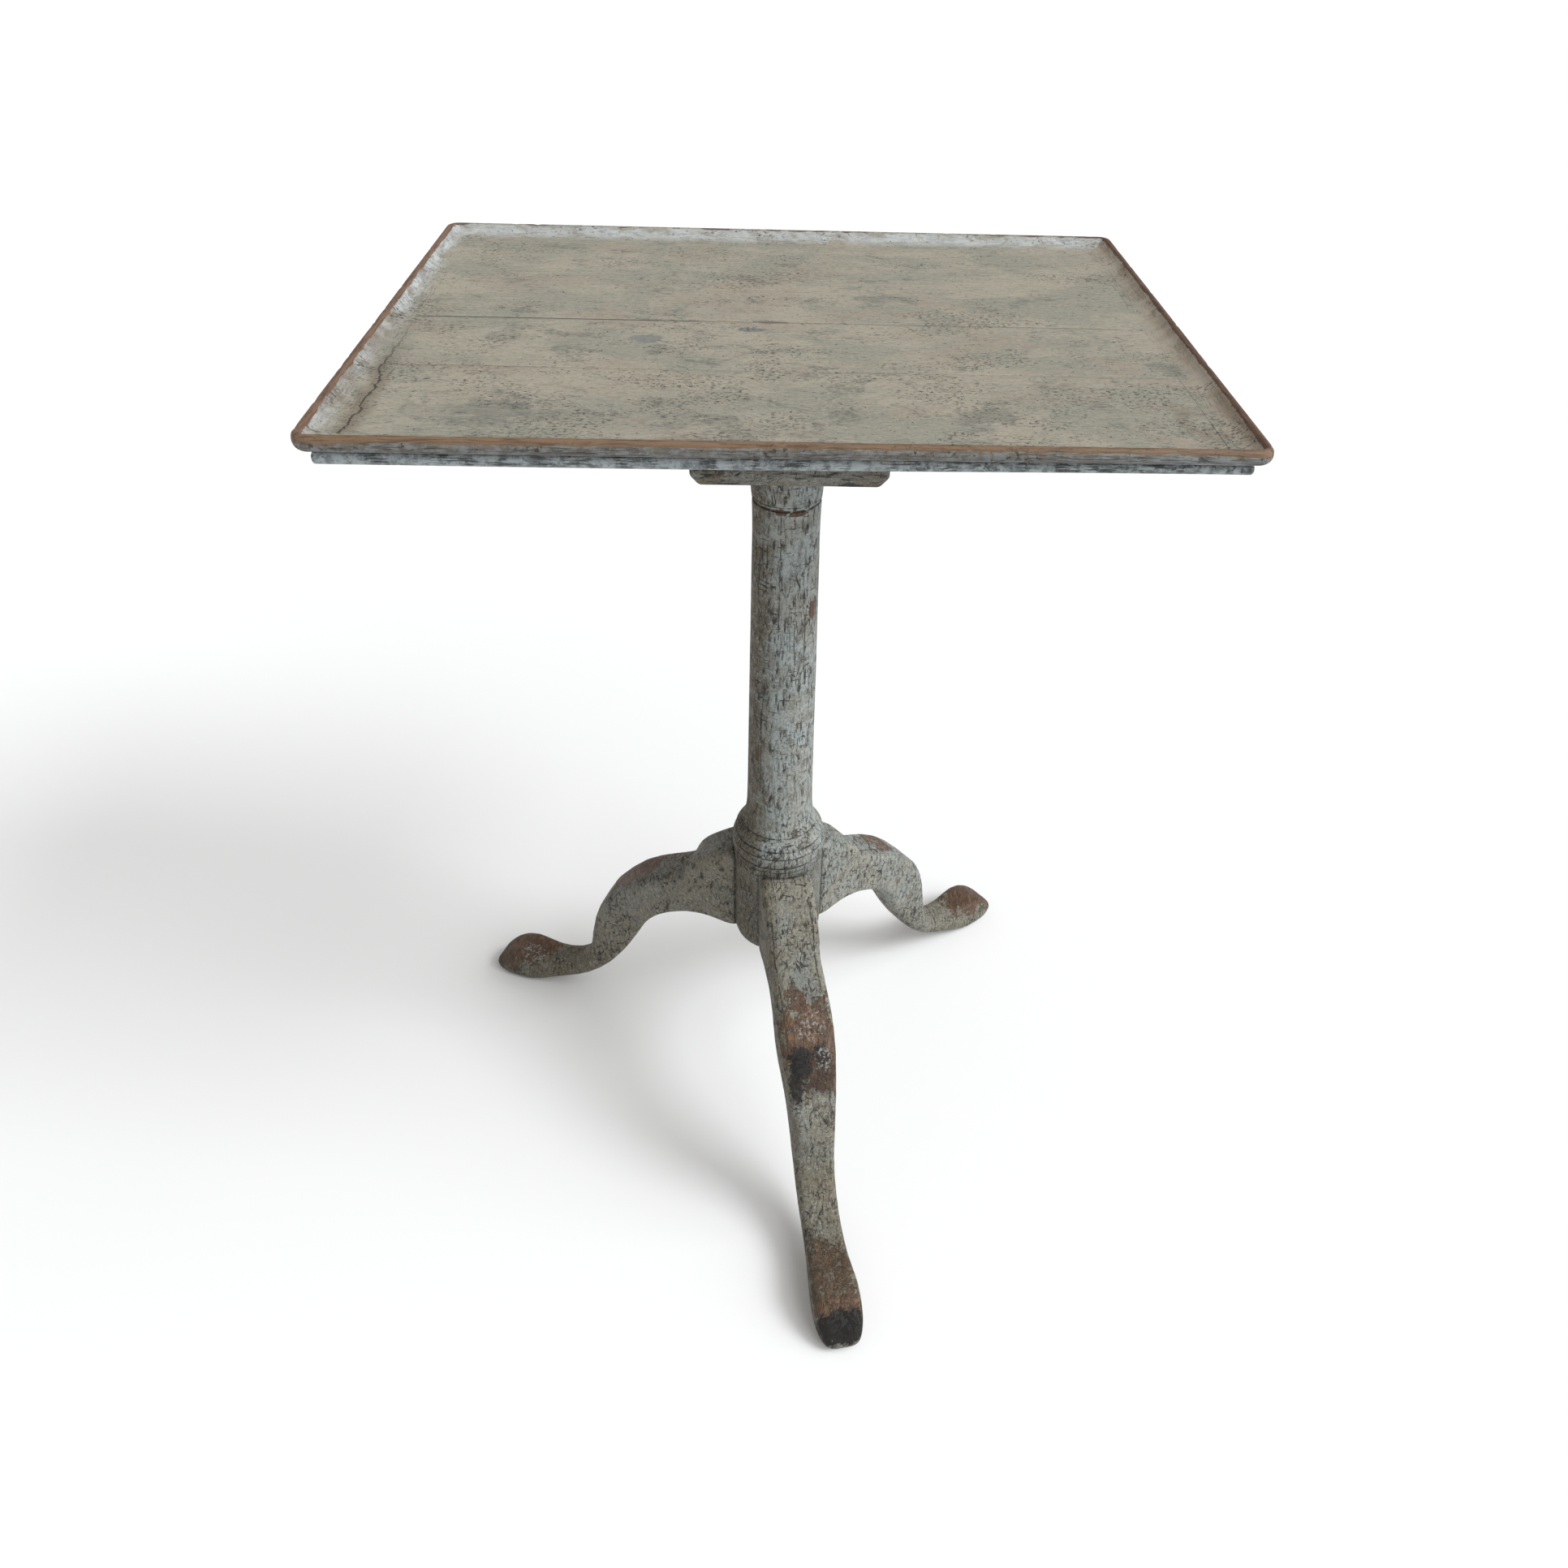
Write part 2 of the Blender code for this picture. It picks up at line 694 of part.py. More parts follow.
def build_battens():
    parts = []
    for side, sign in (("left", -1), ("right", 1)):
        ends = sorted((sign * BATTEN_INNER, sign * (BATTEN_INNER + BATTEN_THICKNESS)))
        batten = make_object(f"batten_{side}", along_x(batten_outline(), *ends), WOOD)
        bevel(batten, 0.0012)
        hinge = circle(PIN_RADIUS + PIN_CLEARANCE, PIN_SEGMENTS, (PIVOT_Y, PIVOT_Z))
        through = sorted((sign * 0.060, sign * 0.110))
        combine(batten, make_cutter(f"pin_hole_{side}", along_x(hinge, *through)))
        x = sign * batten_middle()
        parts.append(batten)
        for number, (y, head_z) in enumerate(zip(BATTEN_SCREW_Y, BATTEN_SCREW_HEAD_Z), 1):
            shank_hole = along_z(circle(0.0023, 12, (x, y)), 0.690, 0.725)
            head_hole = along_z(circle(0.0048, 16, (x, y)), 0.660, head_z + 0.0003)
            combine(batten, make_cutter(f"shank_hole_{side}_{number}", shank_hole))
            combine(batten, make_cutter(f"head_hole_{side}_{number}", head_hole))
            screw = build_nail(f"batten_screw_{side}_{number}", 0.0044, 0.0020, head_z, 0.0225)
            slot = box((-0.006, -0.0005, head_z - 0.004), (0.006, 0.0005, head_z - 0.0006))
            cutter = make_cutter(f"screw_slot_{side}_{number}", slot)
            cutter.rotation_euler.z = math.radians(35.0 * number)
            combine(screw, cutter)
            hang_on([cutter], screw)
            screw.location = (x, y, 0.0)
            parts.append(screw)
        pin_ends = sorted(
            (
                sign * (BATTEN_INNER - PIN_REACH),
                sign * (BATTEN_INNER + BATTEN_THICKNESS + 0.0015),
            )
        )
        pin = make_object(
            f"pivot_pin_{side}",
            along_x(circle(PIN_RADIUS, PIN_SEGMENTS, (PIVOT_Y, PIVOT_Z)), *pin_ends),
            WOOD,
        )
        parts.append(pin)
    return parts


# ---- catch --------------------------------------------------------------------------------------
def catch_plate_bottom():
    return BOARD_UNDERSIDE - GAP - CATCH_PAD_THICKNESS - GAP - CATCH_PLATE_THICKNESS


def bolt_middle_z():
    return catch_plate_bottom() - GAP - BOLT_HEIGHT / 2


def build_catch_on_top(boards):
    pad_low = BOARD_UNDERSIDE - GAP - CATCH_PAD_THICKNESS
    plate_low = catch_plate_bottom()
    pad = make_object(
        "catch_pad",
        box((-0.026, CATCH_FRONT_Y - 0.004, pad_low), (0.026, CATCH_BACK_Y, BOARD_UNDERSIDE - GAP)),
        WOOD,
    )
    plate = make_object(
        "catch_plate",
        box((-0.022, CATCH_FRONT_Y, plate_low), (0.022, CATCH_BACK_Y - 0.001, pad_low - GAP)),
        IRON,
        0.9,
    )
    bevel(plate, 0.0004)
    parts = [pad, plate]
    number = 0
    for board, y in zip(boards, (CATCH_FRONT_Y + 0.007, CATCH_BACK_Y - 0.0045)):
        for x in (-0.017, 0.017):
            number += 1
            hole = circle(0.0016, 12, (x, y))
            shaft = make_cutter(f"catch_nail_hole_{number}", along_z(hole, 0.700, 0.7215))
            for part in (board, pad, plate):
                combine(part, shaft)
            nail = build_nail(
                f"catch_nail_{number}", 0.0030, 0.0013, plate_low - GAP, 0.0105, 0.0010
            )
            nail.location = (x, y, 0.0)
            parts.append(nail)
    inner = BOLT_HALF_WIDTH + 0.0004
    outer = inner + 0.0024
    top = plate_low - GAP
    bottom = bolt_middle_z() - BOLT_HEIGHT / 2 - 0.0004
    staple_outline = [
        (-outer, top),
        (-outer, bottom - 0.0012),
        (-outer + 0.0012, bottom - 0.0024),
        (outer - 0.0012, bottom - 0.0024),
        (outer, bottom - 0.0012),
        (outer, top),
        (inner, top),
        (inner, bottom),
        (-inner, bottom),
        (-inner, top),
    ]
    for name, y in zip(("catch_staple_rear", "catch_staple_front"), STAPLE_Y):
        staple = make_object(name, along_y(staple_outline, y - 0.002, y + 0.002), IRON, 0.9)
        parts.append(staple)
    return parts


def build_bolt():
    middle = bolt_middle_z()
    low, high = middle - BOLT_HEIGHT / 2, middle + BOLT_HEIGHT / 2
    end_y = BOLT_TIP_Y - BOLT_LENGTH
    outline = [
        (end_y, low),
        (BOLT_TIP_Y - 0.003, low),
        (BOLT_TIP_Y, low + 0.0018),
        (BOLT_TIP_Y, high),
        (end_y, high),
    ]
    bolt = make_object(
        "catch_bolt", along_x(outline, -BOLT_HALF_WIDTH, BOLT_HALF_WIDTH), IRON, 0.9
    )
    stem_hole = along_z(circle(0.0018, 12, (0.0, KNOB_Y)), low - 0.002, middle + 0.0012)
    combine(bolt, make_cutter("knob_stem_hole", stem_hole))
    profile = [
        (0.0015, middle + 0.0008),
        (0.0015, low - 0.0003),
        (0.0032, low - 0.0005),
        (0.0026, low - 0.0025),
        (0.0024, low - 0.0045),
        (0.0042, low - 0.0065),
        (0.0050, low - 0.0090),
        (0.0044, low - 0.0115),
        (0.0022, low - 0.0130),
    ]
    knob = make_object("catch_knob", lathe(profile, 16), IRON, 0.9)
    knob.location = (0.0, KNOB_Y, 0.0)
    return [bolt, knob]


def build_keeper():
    middle = bolt_middle_z()
    front = -BLOCK_HALF - GAP
    plate = make_object(
        "catch_keeper",
        box((-0.016, front - 0.0015, middle - 0.0062), (0.016, front, middle + 0.0062)),
        IRON,
        0.9,
    )
    window = box(
        (-BOLT_HALF_WIDTH - 0.0006, front - 0.004, middle - 0.0036),
        (BOLT_HALF_WIDTH + 0.0006, front + 0.002, middle + 0.0036),
    )
    combine(plate, make_cutter("keeper_window", window))
    parts = [plate]
    for number, sign in enumerate((-1, 1), 1):
        x = sign * 0.0125
        hole = circle(0.0012, 10, (x, middle))
        shaft = make_cutter(f"keeper_plate_hole_{number}", along_y(hole, -0.080, -0.060))
        combine(plate, shaft)
        nail = build_nail(f"keeper_nail_{number}", 0.0023, 0.0009, 0.0, 0.0100, 0.0007)
        nail.rotation_euler.x = math.radians(-90.0)
        nail.location = (x, front - 0.0015 - GAP, middle)
        parts.append(nail)
    return parts


# ---- assembly -----------------------------------------------------------------------------------
def centre_on_footprint(table_axis):
    """Moves the table so that its outer box is centred on X = 0, Y = 0."""
    bpy.context.view_layer.update()
    corners = []
    for obj in bpy.data.objects:
        if obj.type == "MESH" and not obj.hide_render:
            corners += [obj.matrix_world @ Vector(vertex.co) for vertex in obj.data.vertices]
    for axis in (0, 1):
        values = [corner[axis] for corner in corners]
        table_axis.location[axis] = -(min(values) + max(values)) / 2
    bpy.context.view_layer.update()


def build_table():
    clear_scene()
    standing = [build_column(), build_wedge(), build_head_block(), build_brace()]
    standing += [build_leg(side, angle) for side, angle in LEG_ANGLES.items()]
    standing += build_brace_fixings()
    standing += build_keeper()
    boards = build_boards()
    tilting = boards + build_rims() + build_battens() + build_catch_on_top(boards)
    sliding = build_bolt()
    cutters = [
        obj for obj in bpy.data.objects if obj.hide_render and obj.parent is None
    ]

    table_axis = make_empty("table_axis", (0.0, 0.0, 0.0))
    tilt_axis = make_empty("tilt_axis", (0.0, PIVOT_Y, PIVOT_Z), table_axis)
    bolt_axis = make_empty("bolt_axis", (0.0, BOLT_TIP_Y, bolt_middle_z()), tilt_axis)
    hang_on(standing + cutters, table_axis)
    hang_on(tilting, tilt_axis)
    hang_on(sliding, bolt_axis)
    centre_on_footprint(table_axis)


build_table()
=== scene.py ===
import math

import bmesh
import bpy
from mathutils import Matrix, Vector, noise


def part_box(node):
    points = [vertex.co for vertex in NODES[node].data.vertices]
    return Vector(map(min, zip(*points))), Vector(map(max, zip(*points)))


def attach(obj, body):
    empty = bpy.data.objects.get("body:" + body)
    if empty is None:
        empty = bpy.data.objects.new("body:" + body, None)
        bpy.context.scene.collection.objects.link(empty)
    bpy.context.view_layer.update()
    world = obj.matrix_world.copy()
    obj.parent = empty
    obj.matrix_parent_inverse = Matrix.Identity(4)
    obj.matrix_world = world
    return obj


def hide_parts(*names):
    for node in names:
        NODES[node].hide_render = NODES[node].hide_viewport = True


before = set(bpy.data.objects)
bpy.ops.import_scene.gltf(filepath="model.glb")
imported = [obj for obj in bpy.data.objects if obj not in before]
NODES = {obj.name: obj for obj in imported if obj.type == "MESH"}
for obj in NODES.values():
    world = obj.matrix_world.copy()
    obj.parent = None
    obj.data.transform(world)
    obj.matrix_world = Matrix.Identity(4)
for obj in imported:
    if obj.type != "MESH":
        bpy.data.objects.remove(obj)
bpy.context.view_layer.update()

# ---- places, all read from the frame ------------------------------------------------------------
COLUMN_LOW, COLUMN_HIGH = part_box("column")
AXIS = Vector(((COLUMN_LOW.x + COLUMN_HIGH.x) / 2, (COLUMN_LOW.y + COLUMN_HIGH.y) / 2, 0.0))
TOP_LOW, RIM_FRONT_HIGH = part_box("rim_front")
RIM_BACK_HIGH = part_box("rim_back")[1]
TOP_HIGH = Vector((RIM_FRONT_HIGH.x, RIM_BACK_HIGH.y, RIM_FRONT_HIGH.z))
TOP_CENTRE = (TOP_LOW + TOP_HIGH) / 2
HALF_X = (TOP_HIGH.x - TOP_LOW.x) / 2
HALF_Y = (TOP_HIGH.y - TOP_LOW.y) / 2
LIP_Z = TOP_HIGH.z

# ---- sizes in metres, angles in degrees ---------------------------------------------------------
RIM_WIDTH = 0.021
CORNER_RADIUS = 0.010
SHAFT_RADIUS = 0.027
HUB_RADIUS = 0.0394
HUB_TOP = 0.31
LEG_TOP = 0.2545
LEG_HALF_WIDTH = 0.0235
LEG_ANGLES = {"front": 9.8, "left": -109.8, "right": 128.5}
BLOCK_UNDERSIDE = 0.6409
LEG_SINK = 0.0045
MITRE_SHIFT = 0.7072 * 0.00008
EDGE_GAP = 0.00005
JOINT_OVERLAP = 0.00013
BOLT_CLEARANCE = 0.0008
MORTISE_REACH = 0.016
FLOOR_HALF = 30.0
MM = 0.001


# ---- node graph helpers -------------------------------------------------------------------------
class Graph:
    """A material under construction; each method adds a node and returns its output."""

    def __init__(self, name):
        self.material = bpy.data.materials.new(name)
        self.material.use_nodes = True
        self.tree = self.material.node_tree
        self.tree.nodes.clear()
        self.place = self.add("ShaderNodeTexCoord").outputs["Object"]

    def add(self, kind, **settings):
        made = self.tree.nodes.new(kind)
        for key, value in settings.items():
            setattr(made, key, value)
        return made

    def put(self, socket, value):
        if isinstance(value, bpy.types.NodeSocket):
            self.tree.links.new(value, socket)
        elif isinstance(value, (tuple, list)) and len(value) == 3 and socket.type == "RGBA":
            socket.default_value = (*value, 1.0)
        else:
            socket.default_value = value

    def calc(self, operation, first, second=0.0):
        made = self.add("ShaderNodeMath", operation=operation)
        self.put(made.inputs[0], first)
        self.put(made.inputs[1], second)
        return made.outputs[0]

    def product(self, *values):
        result = values[0]
        for value in values[1:]:
            result = self.calc("MULTIPLY", result, value)
        return result

    def most(self, *values):
        result = values[0]
        for value in values[1:]:
            result = self.calc("MAXIMUM", result, value)
        return result

    def distance(self, value, target):
        return self.calc("ABSOLUTE", self.calc("SUBTRACT", value, target))

    def about_zero(self, noise_value):
        return self.calc("SUBTRACT", noise_value, 0.5)

    def vector(self, operation, first, second=(0.0, 0.0, 0.0)):
        made = self.add("ShaderNodeVectorMath", operation=operation)
        self.put(made.inputs[0], first)
        if made.inputs[1].enabled:
            self.put(made.inputs[1], second)
        return made.outputs[1] if operation == "LENGTH" else made.outputs[0]

    def parts(self, vector):
        made = self.add("ShaderNodeSeparateXYZ")
        self.put(made.inputs[0], vector)
        return made.outputs[0], made.outputs[1], made.outputs[2]

    def turned(self, vector, degrees):
        """The vector as seen from a frame turned about Z through the table's axis."""
        made = self.add("ShaderNodeVectorRotate", rotation_type="Z_AXIS")
        self.put(made.inputs["Vector"], vector)
        self.put(made.inputs["Center"], (AXIS.x, AXIS.y, 0.0))
        self.put(made.inputs["Angle"], math.radians(-degrees))
        return self.vector("SUBTRACT", made.outputs[0], (AXIS.x, AXIS.y, 0.0))

    def ramp(self, value, start, end, low=0.0, high=1.0):
        made = self.add("ShaderNodeMapRange", interpolation_type="SMOOTHSTEP")
        for socket, number in zip(made.inputs, (value, start, end, low, high)):
            self.put(socket, number)
        return made.outputs[0]

    def noise(self, vector, scale, detail=4.0, roughness=0.55, distortion=0.0, shift=0.0):
        made = self.add("ShaderNodeTexNoise")
        if shift:
            vector = self.vector("ADD", vector, (shift, -shift * 0.7, shift * 0.4))
        self.put(made.inputs["Vector"], vector)
        self.put(made.inputs["Scale"], scale)
        self.put(made.inputs["Detail"], detail)
        self.put(made.inputs["Roughness"], roughness)
        self.put(made.inputs["Distortion"], distortion)
        return made.outputs[0]

    def cracks(self, vector):
        made = self.add("ShaderNodeTexVoronoi", feature="DISTANCE_TO_EDGE")
        self.put(made.inputs["Vector"], vector)
        self.put(made.inputs["Scale"], 1.0)
        return made.outputs[0]

    def stretch(self, vector, factors):
        return self.vector("MULTIPLY", vector, factors)

    def mix(self, factor, first, second):
        made = self.add("ShaderNodeMix", data_type="RGBA")
        self.put(made.inputs[0], factor)
        self.put(made.inputs[6], first)
        self.put(made.inputs[7], second)
        return made.outputs[2]

    def attribute(self, name):
        made = self.add("ShaderNodeAttribute", attribute_name=name)
        return made.outputs["Fac"]

    def spot(self, vector, centre, radii, ragged, scale):
        """1 inside a ragged ellipsoid, falling to 0 at its edge."""
        offset = self.vector("SUBTRACT", vector, centre)
        scaled = self.vector("DIVIDE", offset, radii)
        reach = self.vector("LENGTH", scaled)
        rough = self.noise(vector, scale, 6.0, 0.7, 0.4, centre[0] * 7.0 + centre[2])
        wobble = self.product(self.about_zero(rough), ragged * 4.0)
        return self.ramp(self.calc("ADD", reach, wobble), 1.15, 0.75)

    def finish(self, colour, roughness, height, depth=0.0005, strength=1.0, metallic=0.0):
        shader = self.add("ShaderNodeBsdfPrincipled")
        output = self.add("ShaderNodeOutputMaterial")
        bump = self.add("ShaderNodeBump")
        bump.inputs["Distance"].default_value = depth
        bump.inputs["Strength"].default_value = strength
        self.put(bump.inputs["Height"], height)
        self.put(shader.inputs["Base Color"], colour)
        self.put(shader.inputs["Roughness"], roughness)
        shader.inputs["Metallic"].default_value = metallic
        shader.inputs["Specular IOR Level"].default_value = SPECULAR
        self.tree.links.new(bump.outputs[0], shader.inputs["Normal"])
        self.tree.links.new(shader.outputs[0], output.inputs[0])
        return self.material


# ---- colours, linear ----------------------------------------------------------------------------
FIELD_PALE = (0.335, 0.303, 0.240)
FIELD_GREEN = (0.266, 0.256, 0.206)
FIELD_ROSE = (0.306, 0.256, 0.202)
FIELD_GREY = (0.135, 0.134, 0.116)
FIELD_FLECK = (0.430, 0.410, 0.350)
FIELD_STAIN = (0.120, 0.088, 0.058)
FIELD_BROWN = (0.135, 0.090, 0.060)
SLATE = (0.125, 0.138, 0.150)
COLUMN_PALE = (0.276, 0.284, 0.262)
COLUMN_BLUE = (0.292, 0.328, 0.326)
COLUMN_OLIVE = (0.104, 0.088, 0.058)
PAINT_PALE = (0.225, 0.214, 0.174)
PAINT_BLUE = (0.206, 0.222, 0.206)
PAINT_OLIVE = (0.130, 0.108, 0.070)
PAINT_SHADE = (0.074, 0.065, 0.049)
PAINT_WHITE = (0.500, 0.535, 0.545)
PAINT_FLECK = (0.430, 0.440, 0.400)
PAINT_RUBBED = (0.112, 0.080, 0.050)
GRIME = (0.022, 0.020, 0.018)
BARE_WOOD = (0.168, 0.088, 0.044)
BARE_DARK = (0.052, 0.028, 0.017)
RED_WOOD = (0.080, 0.044, 0.028)
CHAR = (0.010, 0.008, 0.007)
FLAKE = (0.300, 0.310, 0.300)
BLOCK_DULL = (0.180, 0.180, 0.160)
BLOCK_STAIN = (0.130, 0.132, 0.122)
OVOLO_BROWN = (0.128, 0.116, 0.100)
OVOLO_GREY = (0.185, 0.190, 0.188)
OVOLO_BLUE = (0.270, 0.300, 0.305)
OVOLO_DIRT = (0.070, 0.060, 0.050)
BEAD_SLATE = (0.170, 0.192, 0.200)
BEAD_PALE = (0.340, 0.375, 0.385)
RAW_WOOD = (0.190, 0.115, 0.062)
RAW_WOOD_DARK = (0.085, 0.048, 0.026)
IRON_DARK = (0.030, 0.028, 0.027)
IRON_RUST = (0.110, 0.045, 0.020)
FLOOR_TONES = ((0.86, 0.86, 0.86), (0.88, 0.88, 0.88))
SKY = (1.0, 0.985, 0.96)
DAYLIGHT = (0.96, 0.985, 1.0)

SPECULAR = 0.35
IRON_METALLIC = 0.65


# ---- finishes -----------------------------------------------------------------------------------
def bare_wood(graph, vector, along):
    """Worn brown wood with its grain running along the slow axis of the stretched vector."""
    fine = graph.noise(graph.stretch(vector, along), 1.0, 7.0, 0.65, 0.6)
    broad = graph.noise(vector, 60.0, 5.0, 0.65, 0.4)
    tone = graph.mix(graph.ramp(fine, 0.38, 0.62), BARE_WOOD, BARE_DARK)
    return graph.mix(graph.ramp(broad, 0.46, 0.60, 0.0, 0.8), tone, RED_WOOD)


def crackle(graph, vector, along, patchy, width):
    """Short dark cracks that follow the grain, in patches."""
    lines = graph.cracks(graph.stretch(vector, along))
    patch = graph.noise(vector, 30.0, 4.0, 0.6, 0.3, 3.1)
    broken = graph.noise(vector, 210.0, 3.0, 0.6, 0.0, 5.3)
    thin = graph.ramp(lines, width, width * 0.25)
    return graph.product(thin, graph.ramp(patch, *patchy), graph.ramp(broken, 0.42, 0.56))


def dashes(graph, vector, along, start, end, shift):
    """Rubbed streaks and dashes: noise drawn out along the grain."""
    drawn_out = graph.noise(graph.stretch(vector, along), 1.0, 5.0, 0.6, 0.2, shift)
    return graph.ramp(drawn_out, start, end)


def aged_paint(graph, along, across, tones, wear=None, marks=None, dirt=None):
    """Old paint on wood. tones are (main, second, stain); wear, marks and dirt are masks or None,
    and dirt also brings painted shade towards the stain tone.

    Returns the colour, the roughness and the height."""
    place = graph.place
    main, second, stain = tones
    cloud = graph.noise(place, 20.0, 6.0, 0.66, 0.6)
    soft = graph.noise(place, 52.0, 6.0, 0.70, 0.4, 1.7)
    colour = graph.mix(graph.ramp(cloud, 0.42, 0.58), main, second)
    stained_and_shaded = graph.ramp(soft, 0.50, 0.66, 0.0, 0.60)
    # dirt holds real dirt and painted shade alike; both darken the paint towards the stain tone.
    if dirt is not None:
        uneven = graph.ramp(soft, 0.30, 0.56, 0.55, 1.0)
        stained_and_shaded = graph.most(stained_and_shaded, graph.product(dirt, uneven))
    colour = graph.mix(stained_and_shaded, colour, stain)
    brush = graph.noise(graph.stretch(place, along), 1.0, 6.0, 0.72)
    colour = graph.mix(graph.ramp(brush, 0.47, 0.63, 0.0, 0.66), colour, PAINT_SHADE)
    speckle = graph.noise(place, 460.0, 5.0, 0.78, 0.0, 9.1)
    colour = graph.mix(graph.ramp(speckle, 0.53, 0.66, 0.0, 0.50), colour, PAINT_FLECK)
    colour = graph.mix(graph.ramp(speckle, 0.48, 0.35, 0.0, 0.60), colour, PAINT_SHADE)
    region = graph.ramp(graph.noise(place, 34.0, 5.0, 0.65, 0.6, 4.4), 0.42, 0.53)
    dash = dashes(graph, place, along, 0.565, 0.64, 0.3)
    cross = dashes(graph, place, across, 0.59, 0.66, 0.9)
    pits = graph.ramp(graph.noise(place, 520.0, 3.0, 0.6, 0.0, 2.2), 0.64, 0.70)
    lines = crackle(graph, place, tuple(value * 0.55 for value in along), (0.42, 0.56), 0.07)
    scratches = graph.product(graph.most(dash, cross), region)
    dark = graph.product(graph.most(scratches, graph.product(pits, 0.8), lines), 0.95)
    if marks is not None:
        dark = graph.most(dark, marks)
    colour = graph.mix(dark, colour, GRIME)
    height = graph.calc("SUBTRACT", graph.product(brush, 0.4), graph.product(dark, 0.9))
    height = graph.calc("ADD", height, graph.product(speckle, 0.35))
    rough = graph.ramp(soft, 0.3, 0.7, 0.58, 0.78)
    if wear is not None:
        chipped = graph.noise(place, 240.0, 8.0, 0.78, 0.3, 6.6)
        broken = graph.product(graph.about_zero(chipped), 2.6)
        around = graph.calc("ADD", wear, graph.product(broken, 0.5))
        colour = graph.mix(graph.ramp(around, 0.10, 0.60, 0.0, 0.7), colour, PAINT_RUBBED)
        keep = graph.ramp(graph.calc("ADD", wear, broken), 0.36, 0.64)
        wood = bare_wood(graph, place, tuple(value * 0.8 for value in along))
        specks = graph.ramp(speckle, 0.58, 0.64, 0.92, 0.35)
        colour = graph.mix(graph.product(keep, specks), colour, wood)
        height = graph.calc("SUBTRACT", height, graph.product(keep, 0.7))
        rough = graph.calc("SUBTRACT", rough, graph.product(keep, 0.12))
    return colour, rough, height


def field_paint(graph):
    """The beige paint of the tray, with grey blotches, flecks and fine scratches.

    Returns the colour, the mask of its dark marks and the grain."""
    place = graph.place
    x, y, _ = graph.parts(place)
    flat = graph.stretch(place, (0.60, 1.0, 1.0))
    cloud = graph.noise(flat, 14.0, 6.0, 0.66, 0.5)
    rose = graph.noise(flat, 24.0, 6.0, 0.66, 0.3, 2.9)
    colour = graph.mix(graph.ramp(cloud, 0.42, 0.58), FIELD_PALE, FIELD_GREEN)
    colour = graph.mix(graph.ramp(rose, 0.50, 0.64, 0.0, 0.65), colour, FIELD_ROSE)
    grain = graph.noise(graph.stretch(place, (90.0, 520.0, 200.0)), 1.0, 5.0, 0.70)
    colour = graph.mix(graph.ramp(grain, 0.48, 0.66, 0.0, 0.38), colour, FIELD_GREY)
    speckle = graph.noise(graph.stretch(place, (0.7, 1.0, 1.0)), 420.0, 5.0, 0.78, 0.0, 1.3)
    colour = graph.mix(graph.ramp(speckle, 0.52, 0.66, 0.0, 0.42), colour, FIELD_FLECK)
    colour = graph.mix(graph.ramp(speckle, 0.48, 0.36, 0.0, 0.42), colour, FIELD_GREY)
    lower = graph.ramp(y, TOP_CENTRE.y + 0.05, TOP_LOW.y + 0.05, 0.0, 0.030)
    blotch = graph.noise(flat, 40.0, 9.0, 0.76, 0.6, 7.7)
    blotch = graph.ramp(graph.calc("ADD", blotch, lower), 0.535, 0.64)
    rubbed = dashes(graph, place, (260.0, 620.0, 200.0), 0.44, 0.58, 3.3)
    share = graph.calc("ADD", graph.product(rubbed, 0.62), 0.28)
    colour = graph.mix(graph.product(blotch, share), colour, FIELD_GREY)
    region = graph.calc("ADD", graph.noise(flat, 26.0, 6.0, 0.7, 0.5, 4.1), lower)
    region = graph.ramp(region, 0.50, 0.60)
    scratch = graph.product(dashes(graph, place, (300.0, 720.0, 300.0), 0.55, 0.61, 5.9), region)
    pits = graph.ramp(graph.noise(place, 380.0, 3.0, 0.6, 0.0, 6.1), 0.645, 0.70)
    dark = graph.most(graph.product(scratch, 0.80), graph.product(pits, 0.70))
    # A crack, with dirt along it, where the left side of the rim meets the boards.
    bent = graph.calc("ADD", x, graph.product(graph.about_zero(cloud), 0.030))
    bent = graph.calc("ADD", bent, graph.product(graph.about_zero(speckle), 0.003))
    near = graph.distance(bent, TOP_LOW.x + RIM_WIDTH + 0.001)
    part = graph.product(graph.ramp(y, TOP_CENTRE.y - 0.010, TOP_CENTRE.y - 0.110, 0.25, 1.0),
                         graph.ramp(y, TOP_CENTRE.y + 0.004, TOP_CENTRE.y - 0.012),
                         graph.ramp(y, TOP_LOW.y + 0.018, TOP_LOW.y + 0.024))
    crack = graph.product(graph.ramp(near, 0.0010, 0.0003), part, 0.85)
    dirt = graph.product(graph.ramp(near, 0.012, 0.001, 0.0, 0.55), part, part)
    colour = graph.mix(dirt, colour, FIELD_STAIN)
    for centre, radii, tint, weight in FIELD_SPOTS:
        mask = graph.spot(place, (TOP_CENTRE.x + centre[0], TOP_CENTRE.y + centre[1], LIP_Z),
                          (*radii, 0.05), 0.75, 95.0)
        colour = graph.mix(graph.product(mask, weight), colour, tint)
    return colour, graph.most(dark, crack), grain


def field_material(name):
    """The sunk field of the tray, with the joints between its boards."""
    graph = Graph(name)
    x, y, _ = graph.parts(graph.place)
    colour, dark, grain = field_paint(graph)
    joints = []
    for joint, starts, ends, weight in BOARD_JOINTS:
        near = graph.ramp(graph.distance(y, joint), 0.0009, 0.0002)
        part = graph.product(graph.ramp(x, ends + 0.03, ends),
                             graph.ramp(x, starts - 0.01, starts))
        joints.append(graph.product(near, part, weight))
    colour = graph.mix(graph.most(dark, *joints), colour, GRIME)
    height = graph.calc("SUBTRACT", graph.product(grain, 0.35), graph.product(dark, 0.8))
    rough = graph.ramp(grain, 0.3, 0.7, 0.54, 0.66)
    return graph.finish(colour, rough, height, 0.0003)


